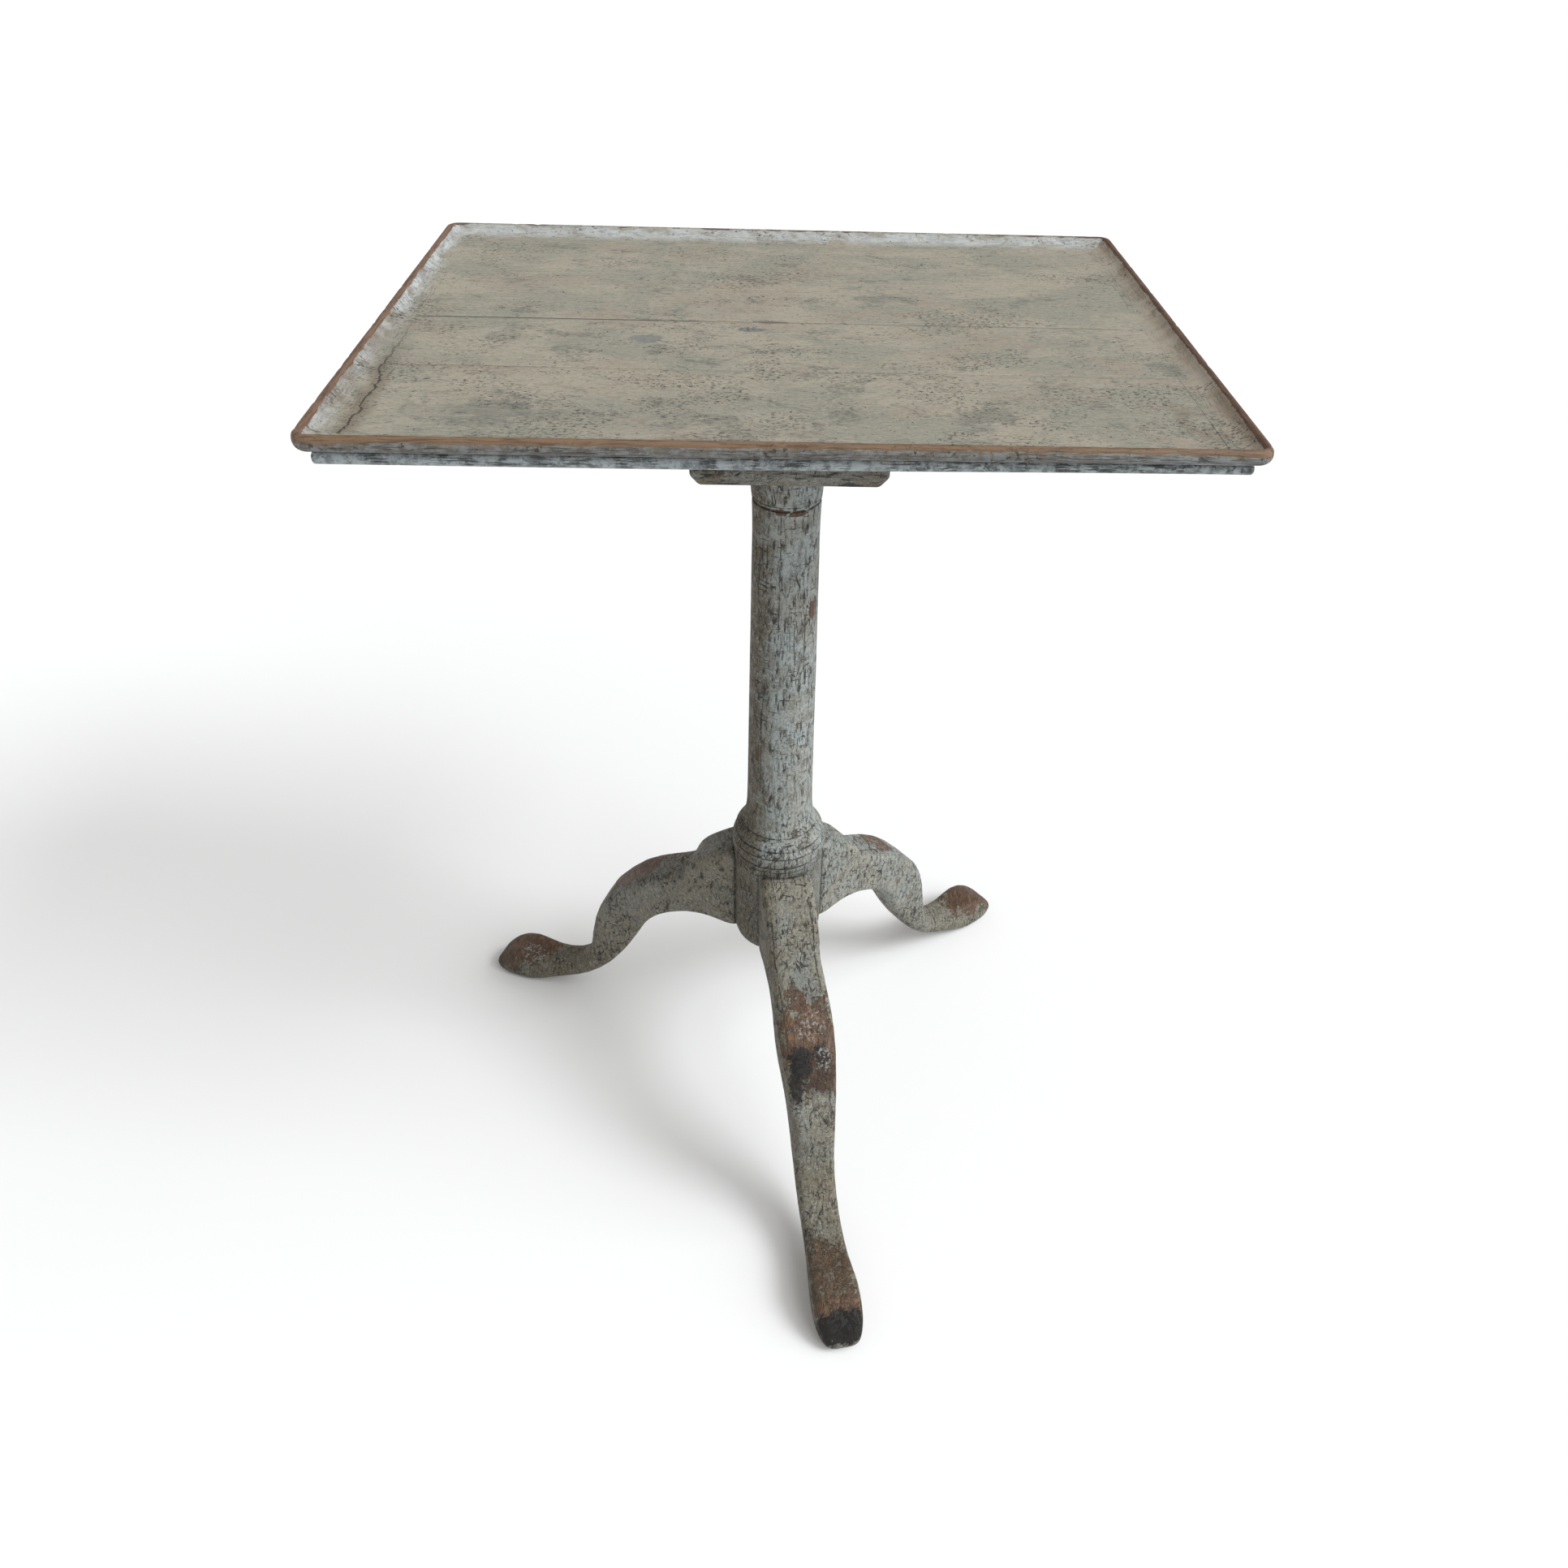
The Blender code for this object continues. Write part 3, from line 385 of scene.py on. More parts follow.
def wood_material(name, along):
    """Unpainted planed wood, browned with age, its grain along the slow axis."""
    graph = Graph(name)
    place = graph.place
    grain = graph.noise(graph.stretch(place, along), 1.0, 6.0, 0.62, 1.2)
    finer = tuple(value * 3.5 for value in along)
    pores = graph.noise(graph.stretch(place, finer), 1.0, 3.0, 0.7)
    cloud = graph.noise(place, 12.0, 3.0, 0.5, 0.4)
    colour = graph.mix(graph.ramp(grain, 0.36, 0.68), RAW_WOOD, RAW_WOOD_DARK)
    colour = graph.mix(graph.ramp(pores, 0.58, 0.70, 0.0, 0.6), colour, BARE_DARK)
    colour = graph.mix(graph.ramp(cloud, 0.40, 0.66, 0.0, 0.45), colour, BARE_WOOD)
    height = graph.calc("ADD", graph.product(grain, 0.6), graph.product(pores, 0.4))
    rough = graph.ramp(cloud, 0.3, 0.7, 0.55, 0.72)
    return graph.finish(colour, rough, height, 0.0003)


def iron_material(name):
    """Hand-forged iron: dark, slightly pitted, with rust in the hollows."""
    graph = Graph(name)
    place = graph.place
    hammered = graph.noise(place, 190.0, 3.0, 0.5, 0.3)
    pits = graph.noise(place, 900.0, 4.0, 0.65)
    rust = graph.ramp(graph.noise(place, 130.0, 6.0, 0.7, 0.5, 2.0), 0.50, 0.64)
    colour = graph.mix(graph.product(rust, 0.75), IRON_DARK, IRON_RUST)
    height = graph.calc("ADD", graph.product(hammered, 0.7), graph.product(pits, 0.3))
    rough = graph.calc("ADD", graph.product(rust, 0.28), 0.45)
    return graph.finish(colour, rough, height, 0.0004, metallic=IRON_METALLIC)


def column_point(azimuth, height, radius):
    """A point on the turned column; azimuth is in degrees from straight ahead, to the right."""
    turn = math.radians(azimuth)
    return (AXIS.x + radius * math.sin(turn), AXIS.y - radius * math.cos(turn), height)


def between(graph, value, low, high):
    """1 between two heights, with 3 mm of fading beyond each."""
    return graph.product(graph.ramp(value, low - 0.003, low), graph.ramp(value, high + 0.003, high))


def column_material(name):
    """Pale paint with painted shade on its left, incised rings, splits and the outlines of the
    legs.
    """
    graph = Graph(name)
    place = graph.place
    local = graph.vector("SUBTRACT", place, (AXIS.x, AXIS.y, 0.0))
    x, y, z = graph.parts(local)
    azimuth = graph.calc("ARCTAN2", x, graph.product(y, -1.0))
    wobble = graph.about_zero(graph.noise(place, 85.0, 3.0, 0.6))
    broken = graph.ramp(graph.noise(place, 190.0, 3.0, 0.7, 0.0, 8.8), 0.40, 0.50)
    marks = []
    for height, width, weight in COLUMN_RINGS:
        near = graph.distance(graph.calc("ADD", z, graph.product(wobble, 0.0022)), height)
        marks.append(graph.product(graph.ramp(near, width, width * 0.3), broken, weight))
    for degrees, low, high in COLUMN_CRACKS:
        bent = graph.calc("ADD", azimuth, graph.product(wobble, 0.06))
        near = graph.distance(bent, math.radians(degrees))
        length = between(graph, z, low, high)
        marks.append(graph.product(graph.ramp(near, 0.018, 0.006), length, broken, 0.9))
    for angle in LEG_ANGLES.values():
        across, out, up = graph.parts(graph.turned(place, angle))
        sideways = graph.calc("SUBTRACT", graph.calc("ABSOLUTE", across), LEG_HALF_WIDTH)
        above = graph.calc("SUBTRACT", up, LEG_TOP)
        outline = graph.calc("ADD", graph.most(sideways, above), graph.product(wobble, 0.0016))
        line = graph.ramp(graph.calc("ABSOLUTE", outline), 0.0009, 0.0003)
        facing = graph.ramp(out, -0.010, -0.020)
        marks.append(graph.product(line, facing, broken, 0.70))
    wear = []
    for degrees, height, radii, weight in COLUMN_SPOTS:
        centre = column_point(degrees, height, SHAFT_RADIUS if height > HUB_TOP else HUB_RADIUS)
        wear.append(graph.product(graph.spot(place, centre, radii, 0.5, 260.0), weight))
    # Painted shade: the paint turns towards the olive stain tone on the column's left, the side
    # away from the key light.
    rightwards = graph.calc("SINE", azimuth)
    dirt = graph.ramp(graph.calc("ADD", rightwards, wobble), -0.18, -0.75)
    low = graph.ramp(z, 0.285, 0.255, 0.0, 0.62)
    tones = (graph.mix(low, COLUMN_PALE, PAINT_SHADE), graph.mix(low, COLUMN_BLUE, PAINT_SHADE),
             COLUMN_OLIVE)
    colour, rough, height = aged_paint(graph, (430.0, 430.0, 75.0), (90.0, 90.0, 640.0), tones,
                                       graph.most(*wear), graph.most(*marks), dirt)
    return graph.finish(colour, rough, height, 0.0005)


def leg_material(name, side):
    """Paint worn to brown wood on the knee and the toe; the places are in the leg's own plane."""
    graph = Graph(name)
    place = graph.place
    local = graph.turned(place, LEG_ANGLES[side])
    across, _, up = graph.parts(local)

    def leg_spot(centre, radii, ragged, scale):
        sideways, reach, height = centre
        return graph.spot(local, (sideways, -reach, height), radii, ragged, scale)

    wear = [graph.product(leg_spot(centre, radii, 0.62, 85.0), weight)
            for centre, radii, weight in LEG_WEAR[side]]
    wobble = graph.about_zero(graph.noise(place, 90.0, 3.0, 0.6))
    marks = []
    broken = graph.ramp(graph.noise(place, 170.0, 3.0, 0.7, 0.0, 8.8), 0.36, 0.50)
    for offset, low, high in LEG_CRACKS[side]:
        near = graph.distance(graph.calc("ADD", across, graph.product(wobble, 0.0030)), offset)
        length = between(graph, up, low, high)
        marks.append(graph.product(graph.ramp(near, 0.0009, 0.0003), length, broken, 0.85))
    from_axis = graph.vector("LENGTH", graph.stretch(local, (1.0, 1.0, 0.0)))
    root = graph.ramp(from_axis, HUB_RADIUS + 0.0012, HUB_RADIUS + 0.0004)
    marks.append(graph.product(root, broken, 0.8))
    # The share on one side is painted shade, darkening that side of the leg; the other two are
    # dirt.
    base, low_down, shaded = LEG_DIRT_AND_SHADE[side]
    dirt = graph.most(base, graph.ramp(up, 0.150, 0.040, 0.0, low_down),
                      graph.ramp(across, -0.008, -0.018, 0.0, shaded))
    colour, rough, height = aged_paint(graph, (430.0, 130.0, 130.0), (110.0, 430.0, 430.0),
                                       (*LEG_TONES_AND_LIGHT[side], PAINT_OLIVE), graph.most(*wear),
                                       graph.most(*marks), dirt)
    for centre, radii, weight in LEG_CHAR[side]:
        mask = graph.product(leg_spot(centre, radii, 0.60, 210.0), weight)
        colour = graph.mix(mask, colour, CHAR)
    for centre, radii in LEG_FLAKES[side]:
        mask = leg_spot(centre, radii, 0.5, 120.0)
        flakes = graph.ramp(graph.noise(place, 380.0, 6.0, 0.75, 0.2, 3.0), 0.52, 0.57)
        colour = graph.mix(graph.product(mask, flakes, 0.80), colour, FLAKE)
    return graph.finish(colour, rough, height, 0.0006)


def block_material(name):
    """Dull paint with dark chips along the block's lower front edge."""
    graph = Graph(name)
    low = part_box("head_block")[0]
    _, _, z = graph.parts(graph.place)
    edge = graph.ramp(z, low.z + 0.010, low.z + 0.001, 0.0, 0.20)
    colour, rough, height = aged_paint(
        graph, (60.0, 420.0, 420.0), (420.0, 420.0, 90.0),
        (BLOCK_DULL, PAINT_OLIVE, BLOCK_STAIN), edge)
    for offset, radii in BLOCK_CHIPS:
        centre = (AXIS.x + offset, low.y, low.z + 0.0015)
        mask = graph.spot(graph.place, centre, radii, 0.6, 260.0)
        colour = graph.mix(graph.product(mask, 0.92), colour, GRIME)
    return graph.finish(colour, rough, height, 0.0005)


def rim_material(name, side):
    """One side of the tray rim.

    Attributes on the mesh say where the lip, cove, ovolo, bead and mitred ends are."""
    graph = Graph(name)
    place = graph.place
    x, y, _ = graph.parts(place)

    def drawn_out(slow, quick):
        """Factors for a vector that changes slowly along this side and quickly across it."""
        return (slow, quick, quick) if side in ("front", "back") else (quick, slow, quick)

    lip, cove = graph.attribute("lip"), graph.attribute("cove")
    ovolo, bead = graph.attribute("ovolo"), graph.attribute("bead")
    end = graph.attribute("end")
    look = RIM_LOOKS[side]
    colour, marks, _ = field_paint(graph)
    # On the right side the cove base and the stain tint below are partly the cove's brown paint and
    # partly painted light.
    colour = graph.mix(cove, colour, look["base"])
    blotchy = graph.noise(graph.stretch(place, drawn_out(0.50, 1.0)), 95.0, 8.0, 0.76, 0.4)
    spread = look["white"]
    if side == "left":
        spread = graph.ramp(y, TOP_CENTRE.y - 0.05, TOP_CENTRE.y + 0.08, spread, 0.85)
    white = graph.product(graph.ramp(blotchy, 0.38, 0.54), cove, spread)
    colour = graph.mix(white, colour, PAINT_WHITE)
    bluish = graph.product(graph.ramp(blotchy, 0.54, 0.62), cove, spread)
    colour = graph.mix(graph.product(bluish, 0.6), colour, PAINT_BLUE)
    brown = graph.noise(place, 34.0, 6.0, 0.66, 0.4, 2.0)
    stain = graph.product(graph.ramp(brown, 0.38, 0.62), cove, look["stain"])
    colour = graph.mix(stain, colour, look["tint"])
    outer = graph.noise(graph.stretch(place, drawn_out(60.0, 720.0)), 1.0, 5.0, 0.6, 0.2)
    flaked = graph.noise(place, 150.0, 7.0, 0.74, 0.3, 1.9)
    to_right = graph.ramp(x, TOP_HIGH.x - 0.150, TOP_HIGH.x - 0.040, 0.0, 0.45)
    tone = graph.mix(graph.ramp(flaked, 0.44, 0.56), OVOLO_BROWN, OVOLO_GREY)
    tone = graph.mix(to_right, tone, OVOLO_BLUE)
    tone = graph.mix(graph.ramp(outer, 0.50, 0.62, 0.0, 0.75), tone, OVOLO_DIRT)
    colour = graph.mix(ovolo, colour, tone)
    tone = graph.mix(graph.ramp(flaked, 0.42, 0.56), BEAD_SLATE, BEAD_PALE)
    colour = graph.mix(bead, colour, tone)
    streak = dashes(graph, place, drawn_out(78.0, 936.0), 0.50, 0.58, 4.0)
    patch = graph.ramp(graph.noise(place, 34.0, 6.0, 0.7, 0.4, 1.0), 0.42, 0.56)
    dark = graph.product(streak, patch, graph.most(graph.product(bead, 0.80),
                                                   graph.product(ovolo, 0.55), 0.22))
    pits = graph.ramp(graph.noise(place, 600.0, 3.0, 0.6), 0.68, 0.74)
    dark = graph.most(dark, graph.product(pits, 0.6), marks)
    colour = graph.mix(dark, colour, GRIME)
    chipped = graph.noise(graph.stretch(place, drawn_out(0.30, 1.0)), 260.0, 6.0, 0.7, 0.2, 5.0)
    worn = graph.calc("ADD", graph.product(lip, look["lip"]),
                      graph.product(end, graph.most(lip, ovolo), look["end"]))
    if side == "front":
        worn = graph.product(worn, graph.ramp(x, TOP_LOW.x, TOP_HIGH.x, 1.0, 0.78))
    keep = graph.ramp(graph.calc("ADD", worn, graph.about_zero(chipped)), 0.42, 0.56)
    wood = graph.mix(graph.ramp(outer, 0.44, 0.66, 0.0, 0.65), look["wood"], BARE_DARK)
    colour = graph.mix(keep, colour, wood)
    height = graph.calc("SUBTRACT", graph.product(outer, 0.3),
                        graph.calc("ADD", graph.product(dark, 0.8), graph.product(keep, 0.5)))
    rough = graph.calc("SUBTRACT", 0.64, graph.product(keep, 0.12))
    return graph.finish(colour, rough, height, 0.0004)


# ---- places of the marks ------------------------------------------------------------------------
# Board joints: (y, visible from x, visible to x, weight).
BOARD_JOINTS = (
    (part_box("board_back")[0].y, TOP_LOW.x, TOP_LOW.x + 0.205, 0.95),
    (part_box("board_back")[0].y, TOP_LOW.x + 0.205, TOP_HIGH.x - 0.05, 0.45),
    (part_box("board_front")[1].y, TOP_LOW.x, TOP_LOW.x + 0.10, 0.40),
)
# Stains on the field: (offset from its middle, radii, colour, weight).
FIELD_SPOTS = (
    ((-0.090, -0.031), (0.011, 0.007), SLATE, 0.55),
    ((-0.024, -0.010), (0.013, 0.004), SLATE, 0.70),
    ((-0.010, 0.006), (0.012, 0.003), GRIME, 0.45),
    ((-0.170, -0.150), (0.026, 0.014), FIELD_GREY, 0.45),
    ((0.115, -0.150), (0.022, 0.012), FIELD_GREY, 0.50),
    ((0.234, -0.150), (0.006, 0.022), FIELD_BROWN, 0.32),
    ((0.244, -0.172), (0.010, 0.010), FIELD_BROWN, 0.32),
)
# Dark chips on the block's lower front edge: (offset from the axis, radii).
BLOCK_CHIPS = (
    (-0.043, (0.008, 0.02, 0.0020)),
    (0.041, (0.007, 0.02, 0.0045)),
    (0.043, (0.012, 0.02, 0.0022)),
)
# Incised or dirty rings on the column: (height, half width, weight).
COLUMN_RINGS = (
    (0.6030, 0.0011, 1.0),
    (0.6065, 0.0005, 0.45),
    (0.2925, 0.0013, 1.0),
    (0.2825, 0.0015, 1.0),
    (0.2760, 0.0008, 0.8),
    (0.2653, 0.0016, 1.0),
    (0.2600, 0.0007, 0.7),
)
# Splits along the column: (azimuth in degrees, low, high).
COLUMN_CRACKS = (
    (-10.0, 0.494, 0.598),
    (17.0, 0.477, 0.532),
    (37.0, 0.462, 0.512),
    (-38.0, 0.340, 0.420),
    (25.0, 0.330, 0.360),
    (8.0, 0.235, 0.262),
    (120.0, 0.400, 0.560),
    (200.0, 0.320, 0.500),
)
# Bare patches on the column: (azimuth, height, radii, weight).
COLUMN_SPOTS = (
    (-12.0, 0.6025, (0.006, 0.006, 0.0028), 0.75),
    (20.0, 0.6010, (0.008, 0.008, 0.0020), 0.65),
    (58.0, 0.5150, (0.006, 0.006, 0.0100), 0.70),
    (-46.0, 0.3760, (0.003, 0.003, 0.0090), 0.60),
    (62.0, 0.1850, (0.008, 0.008, 0.0110), 0.75),
    (150.0, 0.4300, (0.009, 0.009, 0.0140), 0.65),
)
# Wear on the legs, in each leg's plane: ((across, reach, height), radii, weight).
LEG_WEAR = {
    "front": (
        ((0.001, 0.149, 0.171), (0.024, 0.042, 0.037), 0.86),
        ((0.006, 0.142, 0.180), (0.014, 0.018, 0.016), 0.98),
        ((0.018, 0.164, 0.158), (0.009, 0.030, 0.032), 0.74),
        ((0.000, 0.276, 0.034), (0.026, 0.036, 0.018), 0.50),
        ((0.000, 0.302, 0.026), (0.026, 0.016, 0.020), 0.66),
    ),
    "left": (
        ((-0.007, 0.140, 0.180), (0.022, 0.030, 0.022), 1.00),
        ((-0.006, 0.162, 0.158), (0.018, 0.020, 0.024), 0.85),
        ((-0.004, 0.274, 0.034), (0.024, 0.036, 0.016), 0.84),
        ((0.000, 0.292, 0.024), (0.026, 0.020, 0.018), 0.60),
    ),
    "right": (
        ((0.006, 0.129, 0.187), (0.017, 0.024, 0.014), 0.88),
        ((0.000, 0.272, 0.034), (0.024, 0.034, 0.016), 0.74),
        ((0.000, 0.290, 0.024), (0.026, 0.018, 0.018), 0.62),
    ),
}
# Scorched and blackened places, laid out like the wear.
LEG_CHAR = {
    "front": (
        ((-0.009, 0.161, 0.163), (0.0095, 0.014, 0.013), 1.00),
        ((0.009, 0.158, 0.167), (0.0070, 0.010, 0.009), 0.72),
        ((-0.014, 0.173, 0.148), (0.0060, 0.018, 0.020), 0.85),
        ((0.003, 0.168, 0.156), (0.0160, 0.020, 0.020), 0.50),
        ((0.000, 0.311, 0.021), (0.0300, 0.012, 0.016), 1.00),
        ((0.000, 0.308, 0.023), (0.0200, 0.009, 0.010), 0.90),
    ),
    "left": (
        ((-0.010, 0.170, 0.148), (0.0080, 0.010, 0.012), 0.45),
        ((0.000, 0.298, 0.012), (0.0240, 0.014, 0.010), 0.45),
    ),
    "right": (((0.000, 0.296, 0.014), (0.0240, 0.012, 0.012), 0.55),),
}
# Where flakes of paint are left on the bare wood: (place, radii).
LEG_FLAKES = {
    "front": (
        ((0.003, 0.142, 0.181), (0.0120, 0.014, 0.013)),
        ((0.011, 0.162, 0.163), (0.0080, 0.010, 0.010)),
        ((-0.013, 0.184, 0.128), (0.0090, 0.010, 0.012)),
    ),
    "left": (((0.008, 0.262, 0.036), (0.010, 0.016, 0.008)),),
    "right": (((0.002, 0.126, 0.190), (0.012, 0.012, 0.010)),),
}
# The two paint colours of each leg; the right leg's are a lighter copy of the same paint, painted
# light.
LEG_TONES_AND_LIGHT = {
    "front": (PAINT_PALE, PAINT_BLUE),
    "left": (PAINT_PALE, PAINT_BLUE),
    # Painted light: the same paint made lighter for the right leg.
    "right": ((0.282, 0.280, 0.246), (0.262, 0.284, 0.270)),
}
# How dirty each leg is, and its painted shade: (dirt all over, dirt low down, painted shade on one
# side).
LEG_DIRT_AND_SHADE = {
    "front": (0.12, 0.80, 0.75),
    "left": (0.55, 0.95, 0.30),
    "right": (0.00, 0.75, 0.20),
}
# Splits along the legs: (offset across, low, high).
LEG_CRACKS = {
    "front": ((-0.0185, 0.168, 0.238), (0.0165, 0.196, 0.240), (0.0130, 0.120, 0.150)),
    "left": ((0.0100, 0.150, 0.180),),
    "right": ((-0.0100, 0.160, 0.205), (0.0020, 0.205, 0.240)),
}
# Shares of white paint, stain, bare lip and worn ends on each side of the rim, and its colours; the
# right side's cove colours are lightened, painted light against the shade its cove falls in.
RIM_LOOKS = {
    "front": {
        "white": 0.10, "stain": 0.45, "lip": 0.98, "end": 0.45,
        "base": (0.290, 0.265, 0.215), "tint": (0.150, 0.110, 0.075), "wood": (0.188, 0.118, 0.071),
    },
    "back": {
        "white": 0.85, "stain": 0.25, "lip": 0.45, "end": 0.20,
        "base": (0.330, 0.320, 0.280), "tint": (0.150, 0.110, 0.080), "wood": (0.130, 0.085, 0.060),
    },
    "left": {
        "white": 0.45, "stain": 0.60, "lip": 0.85, "end": 0.35,
        "base": (0.240, 0.218, 0.180), "tint": (0.125, 0.090, 0.062), "wood": (0.165, 0.098, 0.064),
    },
    # Painted light: the right cove's base and tint are made lighter than its paint, against the
    # shade it falls in.
    "right": {
        "white": 0.12, "stain": 0.60, "lip": 0.85, "end": 0.60,
        "base": (0.450, 0.390, 0.310), "tint": (0.260, 0.190, 0.130), "wood": (0.140, 0.078, 0.048),
    },
}

# ---- shapes -------------------------------------------------------------------------------------
# Section of the tray rim in millimetres: in from the outer edge, below the lip, then the shares of
# lip, cove, ovolo and bead at each point.
RIM_SECTION = (
    (13.8, 21.3, 0, 0, 0, 0),
    (10.6, 21.1, 0, 0, 0, 1),
    (9.1, 20.1, 0, 0, 0, 1),
    (8.3, 18.2, 0, 0, 0, 1),
    (8.3, 15.6, 0, 0, 0, 1),
    (9.1, 13.8, 0, 0, 0, 1),
    (10.3, 13.0, 0, 0, 0, 1),
    (9.5, 12.1, 0, 0, 1, 0),
    (5.6, 11.3, 0, 0, 1, 0),
    (2.6, 10.1, 0, 0, 1, 0),
    (0.9, 8.1, 0, 0, 1, 0),
    (0.2, 5.7, 0, 0, 1, 0),
    (0.3, 3.2, 0.50, 0, 0.8, 0),
    (0.9, 1.4, 0.95, 0, 0.2, 0),
    (2.0, 0.45, 1, 0, 0, 0),
    (3.2, 0.15, 1, 0, 0, 0),
    (4.5, 0.5, 1, 0.3, 0, 0),
    (6.0, 1.8, 0.45, 1, 0, 0),
    (7.6, 3.6, 0, 1, 0, 0),
    (10.0, 5.4, 0, 0.85, 0, 0),
    (13.2, 6.7, 0, 0.4, 0, 0),
    (17.0, 7.45, 0, 0.1, 0, 0),
    (20.98, 7.70, 0, 0, 0, 0),
    (20.98, 12.4, 0, 0, 0, 0),
    (12.8, 12.4, 0, 0, 0, 0),
    (12.8, 18.1, 0, 0, 0, 0),
    (21.0, 18.1, 0, 0, 0, 0),
    (21.0, 21.3, 0, 0, 0, 0),
)
RIM_CURVE = (1, 22)
MITRE_STEPS = 7

# Visible part of the turned column, in millimetres: (radius, height).
COLUMN_PROFILE = (
    (26.2, 641.1), (26.9, 639.4), (27.3, 634.0), (27.5, 627.0), (27.3, 617.0), (26.8, 609.0),
    (26.5, 606.9), (26.1, 606.5), (26.4, 606.0), (26.3, 604.8), (25.3, 603.6), (25.2, 602.4),
    (26.1, 601.1), (25.9, 592.0), (25.7, 575.0), (25.9, 555.0), (26.4, 503.0), (26.9, 455.0),
    (27.3, 405.0), (27.7, 358.0), (28.1, 324.0), (28.6, 310.0), (29.7, 301.5), (31.2, 296.0),
    (32.3, 293.6), (31.6, 292.4), (32.1, 291.2), (34.2, 289.4), (36.8, 286.2), (38.2, 283.4),
    (37.2, 282.3), (38.3, 281.0), (39.7, 278.2), (40.4, 276.4), (40.1, 275.9), (40.7, 275.2),
    (41.0, 269.2), (40.4, 266.6), (38.9, 265.4), (39.4, 264.1), (39.8, 262.5), (39.5, 260.4),
    (39.1, 259.9), (39.4, 259.2), (39.3, 254.0), (39.35, 230.0), (39.35, 205.0), (39.35, 177.0),
    (38.7, 169.0), (37.4, 164.4), (36.0, 163.15), (21.0, 163.05), (2.4, 163.05),
)
COLUMN_CURVE = (0, 48)
COLUMN_SEGMENTS = 144
BOARD_STRIPS = 26


def link(name, mesh, material, body, *nodes):
    """Puts a visible piece in the scene, on its body and in place of its CAD nodes."""
    obj = bpy.data.objects.new(name, mesh)
    bpy.context.scene.collection.objects.link(obj)
    mesh.materials.clear()
    mesh.materials.append(material)
    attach(obj, body)
    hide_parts(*nodes)


def mesh_of(builder, name, smooth_angle=40.0):
    mesh = bpy.data.meshes.new(name)
    bmesh.ops.recalc_face_normals(builder, faces=builder.faces)
    builder.to_mesh(mesh)
    builder.free()
    mesh.shade_smooth()
    mesh.set_sharp_from_angle(angle=math.radians(smooth_angle))
    return mesh


def curve_through(points, first, last, steps):
    """A Catmull-Rom curve through rows of numbers between two indices, and straight elsewhere."""
    rows = []
    for i in range(len(points) - 1):
        count = steps if first <= i < last else 1
        before = points[max(i - 1, first if i >= first else 0)]
        here, there = points[i], points[i + 1]
        after = points[min(i + 2, last if i < last else len(points) - 1)]
        for k in range(count):
            t = k / count
            rows.append([
                0.5 * (2 * b + (c - a) * t + (2 * a - 5 * b + 4 * c - d) * t * t
                       + (3 * b - a - 3 * c + d) * t**3)
                for a, b, c, d in zip(before, here, there, after)])
    rows.append(list(points[-1]))
    return rows


def loft(rings):
    """A closed skin over rings of points."""
    builder = bmesh.new()
    loops = [[builder.verts.new(point) for point in ring] for ring in rings]
    count = len(loops[0])
    for near, far in zip(loops, loops[1:]):
        for i in range(count):
            j = (i + 1) % count
            builder.faces.new((near[i], near[j], far[j], far[i]))
    builder.faces.new(list(reversed(loops[0])))
    builder.faces.new(loops[-1])
    return builder


def smoothstep(value, start, end):
    t = max(0.0, min(1.0, (value - start) / (end - start)))
    return t * t * (3 - 2 * t)


def rim_station(inset, half_length, half_depth, turn, s):
    """Where a section point lies at the mitre end (turn 0 to 1) or along the side (s 0 to 1)."""
    if inset < CORNER_RADIUS:
        angle = math.radians(45.0 * (1.0 + turn))
        radius = CORNER_RADIUS - inset
        along = -half_length + CORNER_RADIUS - radius * math.cos(angle)
        across = -half_depth + CORNER_RADIUS - radius * math.sin(angle)
    else:
        along = -half_length + inset + 0.002 * turn
        across = -half_depth + inset
    along = along + (-along - along) * s
    return along + MITRE_SHIFT * (1 - 2 * s), across


